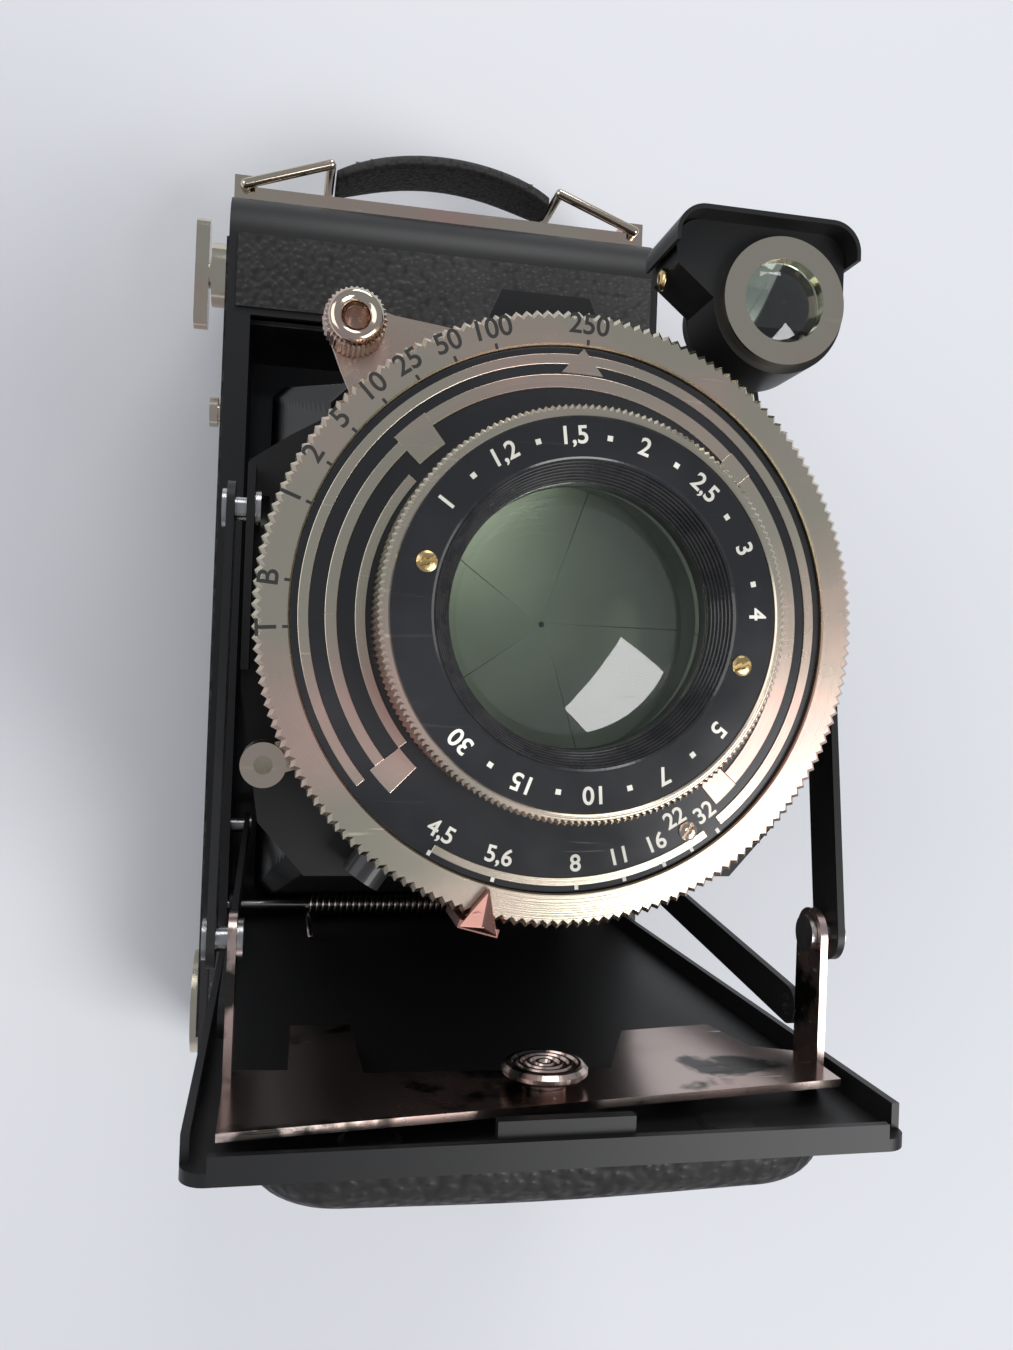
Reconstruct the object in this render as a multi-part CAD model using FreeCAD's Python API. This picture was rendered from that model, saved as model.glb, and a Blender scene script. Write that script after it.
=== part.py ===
import FreeCAD, Part
import math
import os

# Folding roll-film camera, lying on its back with the bed open.
# +X is the camera's right, +Y its top end, +Z the lens axis. The origin is on the
# back face under the lens axis. All sizes are in millimetres.

# ---- driving dimensions ------------------------------------------------------
BODY_HALF_WIDTH = 38.5      # body, across X
BODY_HALF_LENGTH = 78.0     # body, along Y
BODY_DEPTH = 38.0           # back face to front panel
SHELL_WALL = 1.0
SKIN = 0.5                  # leather covering
DOOR_DEPTH = 11.0           # back door, from the back face to the seam
FRONT_EDGE_RADIUS = 9.0
BACK_EDGE_RADIUS = 5.0

OPENING_HALF_WIDTH = 34.5   # front opening, which the bed closes
OPENING_TOP = 55.2
OPENING_BOTTOM = -52.6
GATE_HALF_WIDTH = 28.0      # picture opening
GATE_HALF_LENGTH = 43.5
GATE_Z = 9.0                # back face of the gate plate
SPOOL_FLANGE_RADIUS = 10.7
SPOOL_HALF_LENGTH = 32.0
SPOOL_AXIS_Z = 24.0
SPOOL_PIN_RADIUS = 2.4

HINGE_Y = -46.5             # axis of the bed's hinge
HINGE_Z = 35.0
BED_INNER_Y = -48.9         # the open bed's inner face
BED_SHEET = 1.2
BED_FRONT_Z = 136.0
BED_HALF_WIDTH = 34.2
BED_RIM = 2.5
SHEET = 0.8                 # arms, struts, brackets and flanges

ARM_PIVOT_Y = -32.5         # pivot of the lens arms on the bed's bracket
ARM_PIVOT_Z = 121.0
ARM_SWEEP = 162.0           # degrees that the arms turn while the bed folds
LENS_TRAVEL = 101.5         # how far the standard moves back
LENS_DROP = 14.0            # how far it moves down
STRUT_ROOT_Y = -33.0
STRUT_ROOT_Z = 32.5
STRUT_TIP_Y = -42.2
STRUT_TIP_Z = 114.0
STRUT_HALF_WIDTH = 2.2
ARM_HALF_WIDTH = 2.8
RIVET_RADIUS = 1.2

PLATE_Z = 112.5             # back face of the standard's plate
PLATE_THICKNESS = 1.2
CASE_RADIUS = 27.8
CASE_TOP_Z = 121.0
FACE_RADIUS = 26.6
FACE_Z = 128.2              # front of the black face plate
SPEED_RING_RADIUS = 30.1
SPEED_RING_Z = (123.4, 128.8)
BARREL_RADIUS = 17.6        # threaded barrel that carries the front cell
FOCUS_RADIUS = 19.2
FOCUS_Z = (129.3, 136.2)
GLASS_RADIUS = 12.2
REAR_CELL_RADIUS = 13.4
REAR_CELL_Z = (110.8, 116.0)
COCKING_ANGLE = 127.0       # where the cocking knob stands round the lens
COCKING_REACH = 35.5
RELEASE_ANGLE = 208.0
RELEASE_REACH = 32.3
APERTURE_ANGLE = -105.0
CABLE_ANGLE = 236.0
CABLE_BORE_RADIUS = 1.25

FINDER_X = 22.2             # centre of the finder's front lens
FINDER_Y = 34.0
FINDER_Z = (118.0, 125.6)
FINDER_TOP_Y = 41.9
FINDER_PIVOT = (21.0, 35.0)

TRIPOD_BORE_RADIUS = 3.75   # 3/8 inch thread
TRIPOD_Z = 24.0

RUN = 0.05                  # running clearance of a shaft in its hole
GAP = 0.1                   # gap between a casing and its door
SOFT_GAP = 0.3              # round leather and cloth

KEY_RADIUS = 2.6            # winding key's shaft
BUTTON_RADIUS = 1.6         # stem of the bed's release button
BUTTON_Y = 40.0
BUTTON_Z = 29.0
TRIPOD_BUSH_RADIUS = 6.0
DOOR_PIN_RADIUS = 0.6
DOOR_KNUCKLE_RADIUS = 1.4
DOOR_KNUCKLE_END = 12.0
ROLLER_RADIUS = 2.2
ROLLER_PIN_RADIUS = 1.0
BED_PIN_RADIUS = 0.8
BED_LIP_ROOM = 2.8          # depth left for the bed's lip over the frame's end walls
HANDLE_X = 36.5             # pivots of the handle's bails
HANDLE_Y = 81.6
HANDLE_Z = (13.0, 27.5)
BAIL_WIRE = 0.9
BAIL_REACH_X = 15.0
BAIL_REACH_Y = 5.4
KEY_BOSS_RADIUS = 5.6
SPOOL_KNOB_RADIUS = 9.0
BUTTON_CAP_RADIUS = 2.6
WINDOW_Y = 20.0
WINDOW_RADIUS = 4.0
COVER_PIVOT = (11.0, 20.0)
LATCH_X = 4.0
PRESS_Z = (7.2, 8.0)
BUTTON_CENTRE_Z = 125.6
CABLE_RADIUS = 2.2
CABLE_Z = 117.4
FINDER_WALL = 0.9
FINDER_GLASS_RADIUS = 4.3
FINDER_RING_RADIUS = 6.6
FINDER_SIDES = (10.4, 29.4)
FINDER_SEAT_RADIUS = 7.2
FINDER_CORNER = 2.6         # rounding of the finder's top edges
HOOD_SHEET = 0.5
TRIM_HALF_LENGTH = 34.8     # bright strip in front of the handle
TRIM_HEIGHT = 3.0
TRIM_Z = (27.6, 29.0)
LEATHER_HALF_WIDTH = 29.0   # raised cushion of the bed's leather
LEATHER_RISE = 4.6
LEATHER_EDGE = 4.0
LEATHER_Z = (46.0, 134.6)
BELLOWS_REAR = (30.4, 50.0) # half width and half height at the film frame
BELLOWS_FRONT = (23.0, 25.0)
PLATE_FOOT_Y = -27.6        # lower edge of the standard's plate

# ---- derived sizes -----------------------------------------------------------
SEAM_Z = DOOR_DEPTH + GAP
INNER_HALF_WIDTH = BODY_HALF_WIDTH - SHELL_WALL
INNER_HALF_LENGTH = BODY_HALF_LENGTH - SHELL_WALL
FRAME_HALF_WIDTH = OPENING_HALF_WIDTH + 1.0
FRAME_HALF_LENGTH = OPENING_TOP
FRAME_TOP_Z = BODY_DEPTH - SHELL_WALL - GAP
SPOOL_Y = (FRAME_HALF_LENGTH + INNER_HALF_LENGTH) / 2
BED_OUTER_Y = BED_INNER_Y - BED_SHEET
BED_TAIL_Z = HINGE_Z - (HINGE_Y - OPENING_BOTTOM) + 1.6
ARM_X = (32.4, 32.4 + SHEET)
STRUT_X = (31.4, 31.4 + SHEET)
EAR_X = (30.4, 30.4 + SHEET)
BRACKET_Y = (BED_INNER_Y + 2.0, BED_INNER_Y + 2.0 + SHEET)
BRACKET_Z = (119.0, 134.6)
PLATE_FRONT = PLATE_Z + PLATE_THICKNESS
RELEASE_Z = (118.6, 118.6 + SHEET)
FINDER_MIDDLE = sum(FINDER_SIDES) / 2
BELLOWS_WALL = 1.2
ROLLER_Y = FRAME_HALF_LENGTH + ROLLER_RADIUS + 0.4
ROLLER_Z = GATE_Z + ROLLER_RADIUS - 0.2
DOOR_HINGE_Y = -(BODY_HALF_LENGTH + DOOR_KNUCKLE_RADIUS + GAP)


def v(x, y, z):
    return FreeCAD.Vector(x, y, z)


X_AXIS = v(1, 0, 0)
Y_AXIS = v(0, 1, 0)
Z_AXIS = v(0, 0, 1)


def linkage():
    """Length and lean of the lens arms, and their upper pivot at rest.

    The bed turns a quarter turn about -X and the arms turn ARM_SWEEP. The standard
    stays parallel to the film and ends LENS_TRAVEL back and LENS_DROP down.
    """
    folded_y = HINGE_Y + (ARM_PIVOT_Z - HINGE_Z)
    folded_z = HINGE_Z - (ARM_PIVOT_Y - HINGE_Y)
    move_y = ARM_PIVOT_Y - folded_y - LENS_DROP
    move_z = ARM_PIVOT_Z - folded_z - LENS_TRAVEL
    sweep = math.radians(ARM_SWEEP)
    length = math.hypot(move_y, move_z) / (2 * math.sin(sweep / 2))
    lean = math.atan2(-move_y, -move_z) - sweep / 2
    top_y = ARM_PIVOT_Y + length * math.cos(lean)
    top_z = ARM_PIVOT_Z - length * math.sin(lean)
    return length, lean, top_y, top_z


ARM_LENGTH, ARM_LEAN, ARM_TOP_Y, ARM_TOP_Z = linkage()


# ---- shape helpers -----------------------------------------------------------
def box(x, y, z):
    """A box from three (low, high) pairs."""
    return Part.makeBox(x[1] - x[0], y[1] - y[0], z[1] - z[0], v(x[0], y[0], z[0]))


def rod_x(radius, x, y, z):
    return Part.makeCylinder(radius, x[1] - x[0], v(x[0], y, z), X_AXIS)


def rod_y(radius, x, y, z):
    return Part.makeCylinder(radius, y[1] - y[0], v(x, y[0], z), Y_AXIS)


def rod_z(radius, x, y, z):
    return Part.makeCylinder(radius, z[1] - z[0], v(x, y, z[0]), Z_AXIS)


def tube_z(outer, inner, z, x=0.0, y=0.0):
    return rod_z(outer, x, y, z).cut(rod_z(inner, x, y, (z[0] - 1, z[1] + 1)))


def prism(points, direction):
    """A straight prism on a closed outline of points."""
    wire = Part.makePolygon(list(points) + [points[0]])
    return Part.Face(wire).extrude(direction)


def spin(points):
    """A solid of revolution about the lens axis, from (radius, z) points."""
    return prism_face([v(r, 0, z) for r, z in points]).revolve(v(0, 0, 0), Z_AXIS, 360)


def prism_face(points):
    return Part.Face(Part.makePolygon(list(points) + [points[0]]))


def polar(radius, angle):
    turn = math.radians(angle)
    return radius * math.cos(turn), radius * math.sin(turn)


def link(start, end, half_width, x):
    """A flat bar with round ends between two (y, z) points, lying across X."""
    dy, dz = end[0] - start[0], end[1] - start[1]
    length = math.hypot(dy, dz)
    ny, nz = -dz / length * half_width, dy / length * half_width
    corners = [(start[0] + ny, start[1] + nz), (end[0] + ny, end[1] + nz),
               (end[0] - ny, end[1] - nz), (start[0] - ny, start[1] - nz)]
    middle = prism([v(x[0], y, z) for y, z in corners], v(x[1] - x[0], 0, 0))
    ends = [rod_x(half_width, x, *start), rod_x(half_width, x, *end)]
    return middle.multiFuse(ends).removeSplitter()


def both_sides(shape):
    """A piece and its mirror image across the lens axis."""
    return [shape, shape.mirror(v(0, 0, 0), X_AXIS)]


def group(solids):
    """Several separate solids in one node."""
    return Part.makeCompound(solids)


def save(name, shape):
    os.makedirs("parts", exist_ok=True)
    shape.exportStep("parts/" + name + ".step")


# ---- body --------------------------------------------------------------------
def casing(half_width, half_length, z, edge_radius, at_front):
    """A box with the two edges across its ends rounded, at the front or the back."""
    solid = box((-half_width, half_width), (-half_length, half_length), z)
    level = z[1] if at_front else z[0]
    edges = [e for e in solid.Edges
             if abs(e.CenterOfMass.z - level) < 0.01 and abs(e.CenterOfMass.x) < 0.01]
    return solid.makeFillet(edge_radius, edges)


def hinge_knuckle(x, side):
    """A knuckle of the door's hinge with its leaf; side is +1 on the body, -1 on the door."""
    level = sorted((SEAM_Z + side * 0.2, SEAM_Z + side * 4))
    leaf = box(x, (DOOR_HINGE_Y, -BODY_HALF_LENGTH + 0.4), level)
    return rod_x(DOOR_KNUCKLE_RADIUS, x, DOOR_HINGE_Y, SEAM_Z).fuse(leaf)


def door_pin_bore(radius):
    return rod_x(radius, (-BODY_HALF_WIDTH, BODY_HALF_WIDTH), DOOR_HINGE_Y, SEAM_Z)


def body_shell():
    outer = casing(BODY_HALF_WIDTH, BODY_HALF_LENGTH, (SEAM_Z, BODY_DEPTH),
                   FRONT_EDGE_RADIUS, True)
    hollow = casing(INNER_HALF_WIDTH, INNER_HALF_LENGTH,
                    (SEAM_Z - 5, BODY_DEPTH - SHELL_WALL), FRONT_EDGE_RADIUS - SHELL_WALL, True)
    mouth = box((-OPENING_HALF_WIDTH, OPENING_HALF_WIDTH), (OPENING_BOTTOM, OPENING_TOP),
                (BODY_DEPTH - 3, BODY_DEPTH + 1))
    left = (-BODY_HALF_WIDTH - 1, -INNER_HALF_WIDTH + 1)
    right = (INNER_HALF_WIDTH - 1, BODY_HALF_WIDTH + 1)
    cutters = [hollow, mouth,
               rod_x(KEY_RADIUS + RUN, left, SPOOL_Y, SPOOL_AXIS_Z),
               rod_x(SPOOL_PIN_RADIUS + RUN, left, -SPOOL_Y, SPOOL_AXIS_Z),
               rod_x(BUTTON_RADIUS + RUN, left, BUTTON_Y, BUTTON_Z),
               rod_x(TRIPOD_BUSH_RADIUS, right, 0, TRIPOD_Z)]
    shell = outer
    for cutter in cutters:
        shell = shell.cut(cutter)
    knuckles = [hinge_knuckle((-BODY_HALF_WIDTH + 2, -DOOR_KNUCKLE_END - GAP), 1),
                hinge_knuckle((DOOR_KNUCKLE_END + GAP, BODY_HALF_WIDTH - 2), 1)]
    return shell.multiFuse(knuckles).cut(door_pin_bore(DOOR_PIN_RADIUS)).removeSplitter()


def body_leather():
    """Skins on the two front panels and the two long sides."""
    front = (BODY_DEPTH, BODY_DEPTH + SKIN)
    straight = BODY_HALF_LENGTH - FRONT_EDGE_RADIUS
    width = (-BODY_HALF_WIDTH + 1.5, BODY_HALF_WIDTH - 1.5)
    top = box(width, (OPENING_TOP + 1.2, straight), front)
    bottom = box(width, (-straight, OPENING_BOTTOM - 1.2), front)
    length = (-straight, straight)
    depth = (SEAM_Z + 1.0, BODY_DEPTH - 2.0)
    side = box((BODY_HALF_WIDTH, BODY_HALF_WIDTH + SKIN), length, depth)
    right = side.cut(rod_x(TRIPOD_BUSH_RADIUS + 1.0, (INNER_HALF_WIDTH, BODY_HALF_WIDTH + 1),
                           0, TRIPOD_Z))
    left = side.mirror(v(0, 0, 0), X_AXIS)
    for radius, y, z in ((KEY_BOSS_RADIUS + GAP, SPOOL_Y, SPOOL_AXIS_Z),
                         (SPOOL_KNOB_RADIUS + GAP, -SPOOL_Y, SPOOL_AXIS_Z),
                         (BUTTON_CAP_RADIUS + GAP, BUTTON_Y, BUTTON_Z)):
        left = left.cut(rod_x(radius, (-BODY_HALF_WIDTH - 1, -INNER_HALF_WIDTH), y, z))
    return group([top, bottom, left, right])


def film_frame():
    """Box behind the bellows: gate plate, four walls, and ears for the film rollers."""
    walls = box((-FRAME_HALF_WIDTH, FRAME_HALF_WIDTH), (-FRAME_HALF_LENGTH, FRAME_HALF_LENGTH),
                (GATE_Z, FRAME_TOP_Z))
    inner_w = FRAME_HALF_WIDTH - SHEET
    inner_l = FRAME_HALF_LENGTH - SHEET
    hollow = box((-inner_w, inner_w), (-inner_l, inner_l), (GATE_Z + SHELL_WALL, BODY_DEPTH))
    gate = box((-GATE_HALF_WIDTH, GATE_HALF_WIDTH), (-GATE_HALF_LENGTH, GATE_HALF_LENGTH),
               (GATE_Z - 1, GATE_Z + 2))
    room = box((-inner_w, inner_w), (-FRAME_HALF_LENGTH - 1, FRAME_HALF_LENGTH + 1),
               (BODY_DEPTH - BED_LIP_ROOM, BODY_DEPTH))
    frame = walls.cut(hollow).cut(gate).cut(room)
    ears = []
    for end in (-1, 1):
        span = sorted((end * (FRAME_HALF_LENGTH - 2), end * (ROLLER_Y + ROLLER_PIN_RADIUS + 1)))
        ear = box((inner_w, FRAME_HALF_WIDTH), span, (GATE_Z, ROLLER_Z + 2.6))
        ears += both_sides(ear)
    frame = frame.multiFuse(ears)
    width = (-FRAME_HALF_WIDTH - 1, FRAME_HALF_WIDTH + 1)
    for end in (-1, 1):
        frame = frame.cut(rod_x(ROLLER_PIN_RADIUS + RUN, width, end * ROLLER_Y, ROLLER_Z))
    frame = frame.cut(rod_x(BED_PIN_RADIUS, width, HINGE_Y, HINGE_Z))
    frame = frame.cut(rod_x(RIVET_RADIUS + RUN, width, STRUT_ROOT_Y, STRUT_ROOT_Z))
    screw_way = rod_x(TRIPOD_BORE_RADIUS + 0.5, (0, width[1]), 0, TRIPOD_Z)
    return frame.cut(screw_way).removeSplitter()


def film_roller(end):
    y = end * ROLLER_Y
    reach = FRAME_HALF_WIDTH + 0.6
    body = rod_x(ROLLER_RADIUS, (-FRAME_HALF_WIDTH + SHEET + GAP, FRAME_HALF_WIDTH - SHEET - GAP),
                 y, ROLLER_Z)
    return body.fuse(rod_x(ROLLER_PIN_RADIUS, (-reach, reach), y, ROLLER_Z))


def bed_hinge_pin():
    return rod_x(BED_PIN_RADIUS, (-FRAME_HALF_WIDTH - 0.6, FRAME_HALF_WIDTH + 0.6),
                 HINGE_Y, HINGE_Z)


def back_hinge_pin():
    return rod_x(DOOR_PIN_RADIUS, (-BODY_HALF_WIDTH + 1.6, BODY_HALF_WIDTH - 1.6),
                 DOOR_HINGE_Y, SEAM_Z)


def trim_strip():
    """Bright strip along the body's top end."""
    return box((-TRIM_HALF_LENGTH, TRIM_HALF_LENGTH),
               (BODY_HALF_LENGTH, BODY_HALF_LENGTH + TRIM_HEIGHT), TRIM_Z)


def bellows():
    """Plain tapered tube from the film frame to the standard."""

    def taper(wall, overrun):
        ends = []
        for (half_x, half_y), z in ((BELLOWS_REAR, GATE_Z + SHELL_WALL - overrun),
                                    (BELLOWS_FRONT, PLATE_Z + overrun)):
            x, y = half_x - wall, half_y - wall
            ends.append(Part.makePolygon([v(-x, -y, z), v(x, -y, z), v(x, y, z), v(-x, y, z),
                                          v(-x, -y, z)]))
        return Part.makeLoft(ends, True, True)

    return taper(0, 0).cut(taper(BELLOWS_WALL, 1.0))


def spool():
    core = rod_x(4.0, (-SPOOL_HALF_LENGTH, SPOOL_HALF_LENGTH), 0, 0)
    flanges = [rod_x(SPOOL_FLANGE_RADIUS, (SPOOL_HALF_LENGTH - 1, SPOOL_HALF_LENGTH), 0, 0),
               rod_x(SPOOL_FLANGE_RADIUS, (-SPOOL_HALF_LENGTH, -SPOOL_HALF_LENGTH + 1), 0, 0)]
    whole = core.multiFuse(flanges).removeSplitter()
    for side in (-1, 1):
        mouth = sorted((side * (SPOOL_HALF_LENGTH - 4), side * (SPOOL_HALF_LENGTH + 1)))
        whole = whole.cut(rod_x(SPOOL_PIN_RADIUS + RUN, mouth, 0, 0))
    slot = box((-SPOOL_HALF_LENGTH - 1, -SPOOL_HALF_LENGTH + 4), (-0.8, 0.8), (-3.6, 3.6))
    return whole.cut(slot)


def placed_spool(end):
    copy = spool()
    copy.translate(v(0, end * SPOOL_Y, SPOOL_AXIS_Z))
    return copy


def spool_pins():
    """Fixed pins in the right-hand wall, one for each spool."""
    pins = []
    for end in (-1, 1):
        pin = rod_x(SPOOL_PIN_RADIUS, (SPOOL_HALF_LENGTH - 3, INNER_HALF_WIDTH),
                    end * SPOOL_Y, SPOOL_AXIS_Z)
        collar = rod_x(SPOOL_PIN_RADIUS + 1.6, (SPOOL_HALF_LENGTH + 0.2, INNER_HALF_WIDTH),
                       end * SPOOL_Y, SPOOL_AXIS_Z)
        pins.append(pin.fuse(collar).removeSplitter())
    return group(pins)


def winding_key():
    """Shaft with a tongue for the spool, a round boss, and a folding-type wing."""
    x = -BODY_HALF_WIDTH
    shaft = rod_x(KEY_RADIUS, (x - 0.5, -SPOOL_HALF_LENGTH - 0.4), SPOOL_Y, SPOOL_AXIS_Z)
    tongue = box((-SPOOL_HALF_LENGTH - 1, -SPOOL_HALF_LENGTH + 3),
                 (SPOOL_Y - 0.7, SPOOL_Y + 0.7), (SPOOL_AXIS_Z - 2.3, SPOOL_AXIS_Z + 2.3))
    boss = rod_x(KEY_BOSS_RADIUS, (x - 3.4, x - GAP), SPOOL_Y, SPOOL_AXIS_Z)
    wing = link((SPOOL_Y - 7.6, SPOOL_AXIS_Z), (SPOOL_Y + 7.6, SPOOL_AXIS_Z), 2.4,
                (x - 6.4, x - 4.0)).fuse(rod_x(2.4, (x - 4.4, x - 3.0), SPOOL_Y, SPOOL_AXIS_Z))
    return shaft.multiFuse([tongue, boss, wing]).removeSplitter()


def spool_knob():
    """Flat round knob whose pin holds the full spool; it pulls out to change the film."""
    x = -BODY_HALF_WIDTH
    disc = rod_x(SPOOL_KNOB_RADIUS, (x - 1.8, x - GAP), -SPOOL_Y, SPOOL_AXIS_Z)
    pin = rod_x(SPOOL_PIN_RADIUS, (x - 1, -SPOOL_HALF_LENGTH + 3), -SPOOL_Y, SPOOL_AXIS_Z)
    return disc.fuse(pin).removeSplitter()


def bed_release_button():
    x = -BODY_HALF_WIDTH
    cap = rod_x(BUTTON_CAP_RADIUS, (x - 2.6, x - 1.2), BUTTON_Y, BUTTON_Z)
    stem = rod_x(BUTTON_RADIUS, (x - 2, x + 1.8), BUTTON_Y, BUTTON_Z)
    return cap.fuse(stem).removeSplitter()


def tripod_bush():
    """Threaded bush in the right-hand side; its bore is modelled at the thread's root."""
    x = (FRAME_HALF_WIDTH + GAP, BODY_HALF_WIDTH + SKIN)
    bush = rod_x(TRIPOD_BUSH_RADIUS, x, 0, TRIPOD_Z)
    return bush.cut(rod_x(TRIPOD_BORE_RADIUS, (x[0] - 1, x[1] + 1), 0, TRIPOD_Z))


# ---- carrying handle -----------------------------------------------------------
def handle_brackets():
    low, high = BODY_HALF_LENGTH, HANDLE_Y + 2.0
    block = box((HANDLE_X - 2.0, HANDLE_X + 2.0), (low, high), HANDLE_Z)
    block = block.cut(rod_z(BAIL_WIRE + RUN, HANDLE_X, HANDLE_Y, (HANDLE_Z[0] - 1, HANDLE_Z[1] + 1)))
    strip = box((-BODY_HALF_WIDTH, BODY_HALF_WIDTH), (low, low + 0.8), (26.4, 28.8))
    return group([s.cut(strip) for s in both_sides(block)])


def handle_bail(side):
    """Wire loop from a bracket to one end of the strap."""
    x0, y0 = side * HANDLE_X, HANDLE_Y
    x1, y1 = side * (HANDLE_X - BAIL_REACH_X), HANDLE_Y + BAIL_REACH_Y
    low, high = HANDLE_Z[0] - BAIL_WIRE - 0.2, HANDLE_Z[1] + BAIL_WIRE + 0.2
    length = math.hypot(x1 - x0, y1 - y0)
    along = v((x1 - x0) / length, (y1 - y0) / length, 0)
    wires = []
    for z, inward in ((low, 1), (high, -1)):
        wires.append(Part.makeCylinder(BAIL_WIRE, length, v(x0, y0, z), along))
        wires.append(Part.makeSphere(BAIL_WIRE, v(x0, y0, z)))
        wires.append(Part.makeSphere(BAIL_WIRE, v(x1, y1, z)))
        wires.append(Part.makeCylinder(BAIL_WIRE, 5.0, v(x0, y0, z), v(0, 0, inward)))
    wires.append(Part.makeCylinder(BAIL_WIRE, high - low, v(x1, y1, low), Z_AXIS))
    return wires[0].multiFuse(wires[1:])


def handle_strap():
    """Plain arched strap between the two bails."""
    reach = HANDLE_X - BAIL_REACH_X - BAIL_WIRE - SOFT_GAP
    base_y = HANDLE_Y + BAIL_REACH_Y
    rise, thick = 4.4, 2.4
    ring = []
    for lift in (0.0, thick):
        ring.append((v(-reach, base_y - thick / 2 + lift, 0),
                     v(0, base_y - thick / 2 + lift + rise, 0),
                     v(reach, base_y - thick / 2 + lift, 0)))
    lower = Part.Arc(*ring[0]).toShape()
    upper = Part.Arc(*ring[1]).toShape()
    ends = [Part.makeLine(ring[0][2], ring[1][2]), Part.makeLine(ring[1][0], ring[0][0])]
    face = Part.Face(Part.Wire([lower, ends[0], upper, ends[1]]))
    strap = face.extrude(v(0, 0, HANDLE_Z[1] - HANDLE_Z[0] - 2.0))
    strap.translate(v(0, 0, HANDLE_Z[0] + 1.0))
    return strap


# ---- back door -----------------------------------------------------------------


def back_door():
    outer = casing(BODY_HALF_WIDTH, BODY_HALF_LENGTH, (SKIN, DOOR_DEPTH), BACK_EDGE_RADIUS, False)
    hollow = casing(INNER_HALF_WIDTH, INNER_HALF_LENGTH, (SKIN + SHELL_WALL, DOOR_DEPTH + 5),
                    BACK_EDGE_RADIUS - SHELL_WALL, False)
    window = rod_z(WINDOW_RADIUS, 0, WINDOW_Y, (-1, 4))
    pan = outer.cut(hollow).cut(window)
    knuckle = hinge_knuckle((-DOOR_KNUCKLE_END, DOOR_KNUCKLE_END), -1)
    pan = pan.fuse(knuckle)
    pivot = rod_z(0.8, *COVER_PIVOT, (SKIN + SHELL_WALL - 0.2, 3.4))
    return pan.cut(door_pin_bore(DOOR_PIN_RADIUS + RUN)).fuse(pivot).removeSplitter()


def back_leather():
    straight = BODY_HALF_LENGTH - BACK_EDGE_RADIUS
    skin = box((-BODY_HALF_WIDTH + 0.5, BODY_HALF_WIDTH - 0.5), (-straight, straight), (0, SKIN))
    return skin.cut(rod_z(WINDOW_RADIUS + 0.4, 0, WINDOW_Y, (-1, 2)))


def red_window():
    return rod_z(WINDOW_RADIUS - 0.02, 0, WINDOW_Y, (SKIN + 0.2, SKIN + 0.7))


def window_cover():
    """Arm with a round flap that turns aside from the window, inside the door."""
    z = (SKIN + SHELL_WALL + GAP, SKIN + SHELL_WALL + 0.8)
    flap = rod_z(WINDOW_RADIUS + 1.4, 0, WINDOW_Y, z)
    arm = box((0, COVER_PIVOT[0]), (WINDOW_Y - 1.8, WINDOW_Y + 1.8), z)
    head = rod_z(2.6, *COVER_PIVOT, z)
    return flap.multiFuse([arm, head]).cut(rod_z(0.8 + RUN, *COVER_PIVOT, (0, 9))).removeSplitter()


def pressure_plate():
    plate = box((-31.5, 31.5), (-46.0, 46.0), PRESS_Z)
    return plate.cut(rod_z(WINDOW_RADIUS + 1.0, 0, WINDOW_Y, (0, 20)))


def pressure_springs():
    """Two bowed leaf springs between the door and the pressure plate."""
    low, high = SKIN + SHELL_WALL, PRESS_Z[0]
    springs = []
    for x in (-20.0, 20.0):
        outline = []
        for lift in (0.0, 0.4):
            outline.append([v(x, -26, low + lift), v(x, 0, high - 0.4 + lift), v(x, 26, low + lift)])
        arcs = [Part.Arc(*points).toShape() for points in outline]
        ends = [Part.makeLine(outline[0][2], outline[1][2]),
                Part.makeLine(outline[1][0], outline[0][0])]
        face = Part.Face(Part.Wire([arcs[0], ends[0], arcs[1], ends[1]]))
        springs.append(face.extrude(v(8 if x < 0 else -8, 0, 0)))
    return group(springs)


def back_latch():
    """Sliding knob that frees the door, on the top end under the handle."""
    low = BODY_HALF_LENGTH + GAP
    plate = box((LATCH_X - 5, LATCH_X + 5), (low, low + 0.8), (SEAM_Z + 1, 22))
    knob = rod_y(2.8, LATCH_X, (low + 0.6, low + 4.2), 18.5)
    hook = box((LATCH_X - 3, LATCH_X + 3), (low, low + 0.8), (SEAM_Z - 3, SEAM_Z + 2))
    return plate.multiFuse([knob, hook]).removeSplitter()


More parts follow.
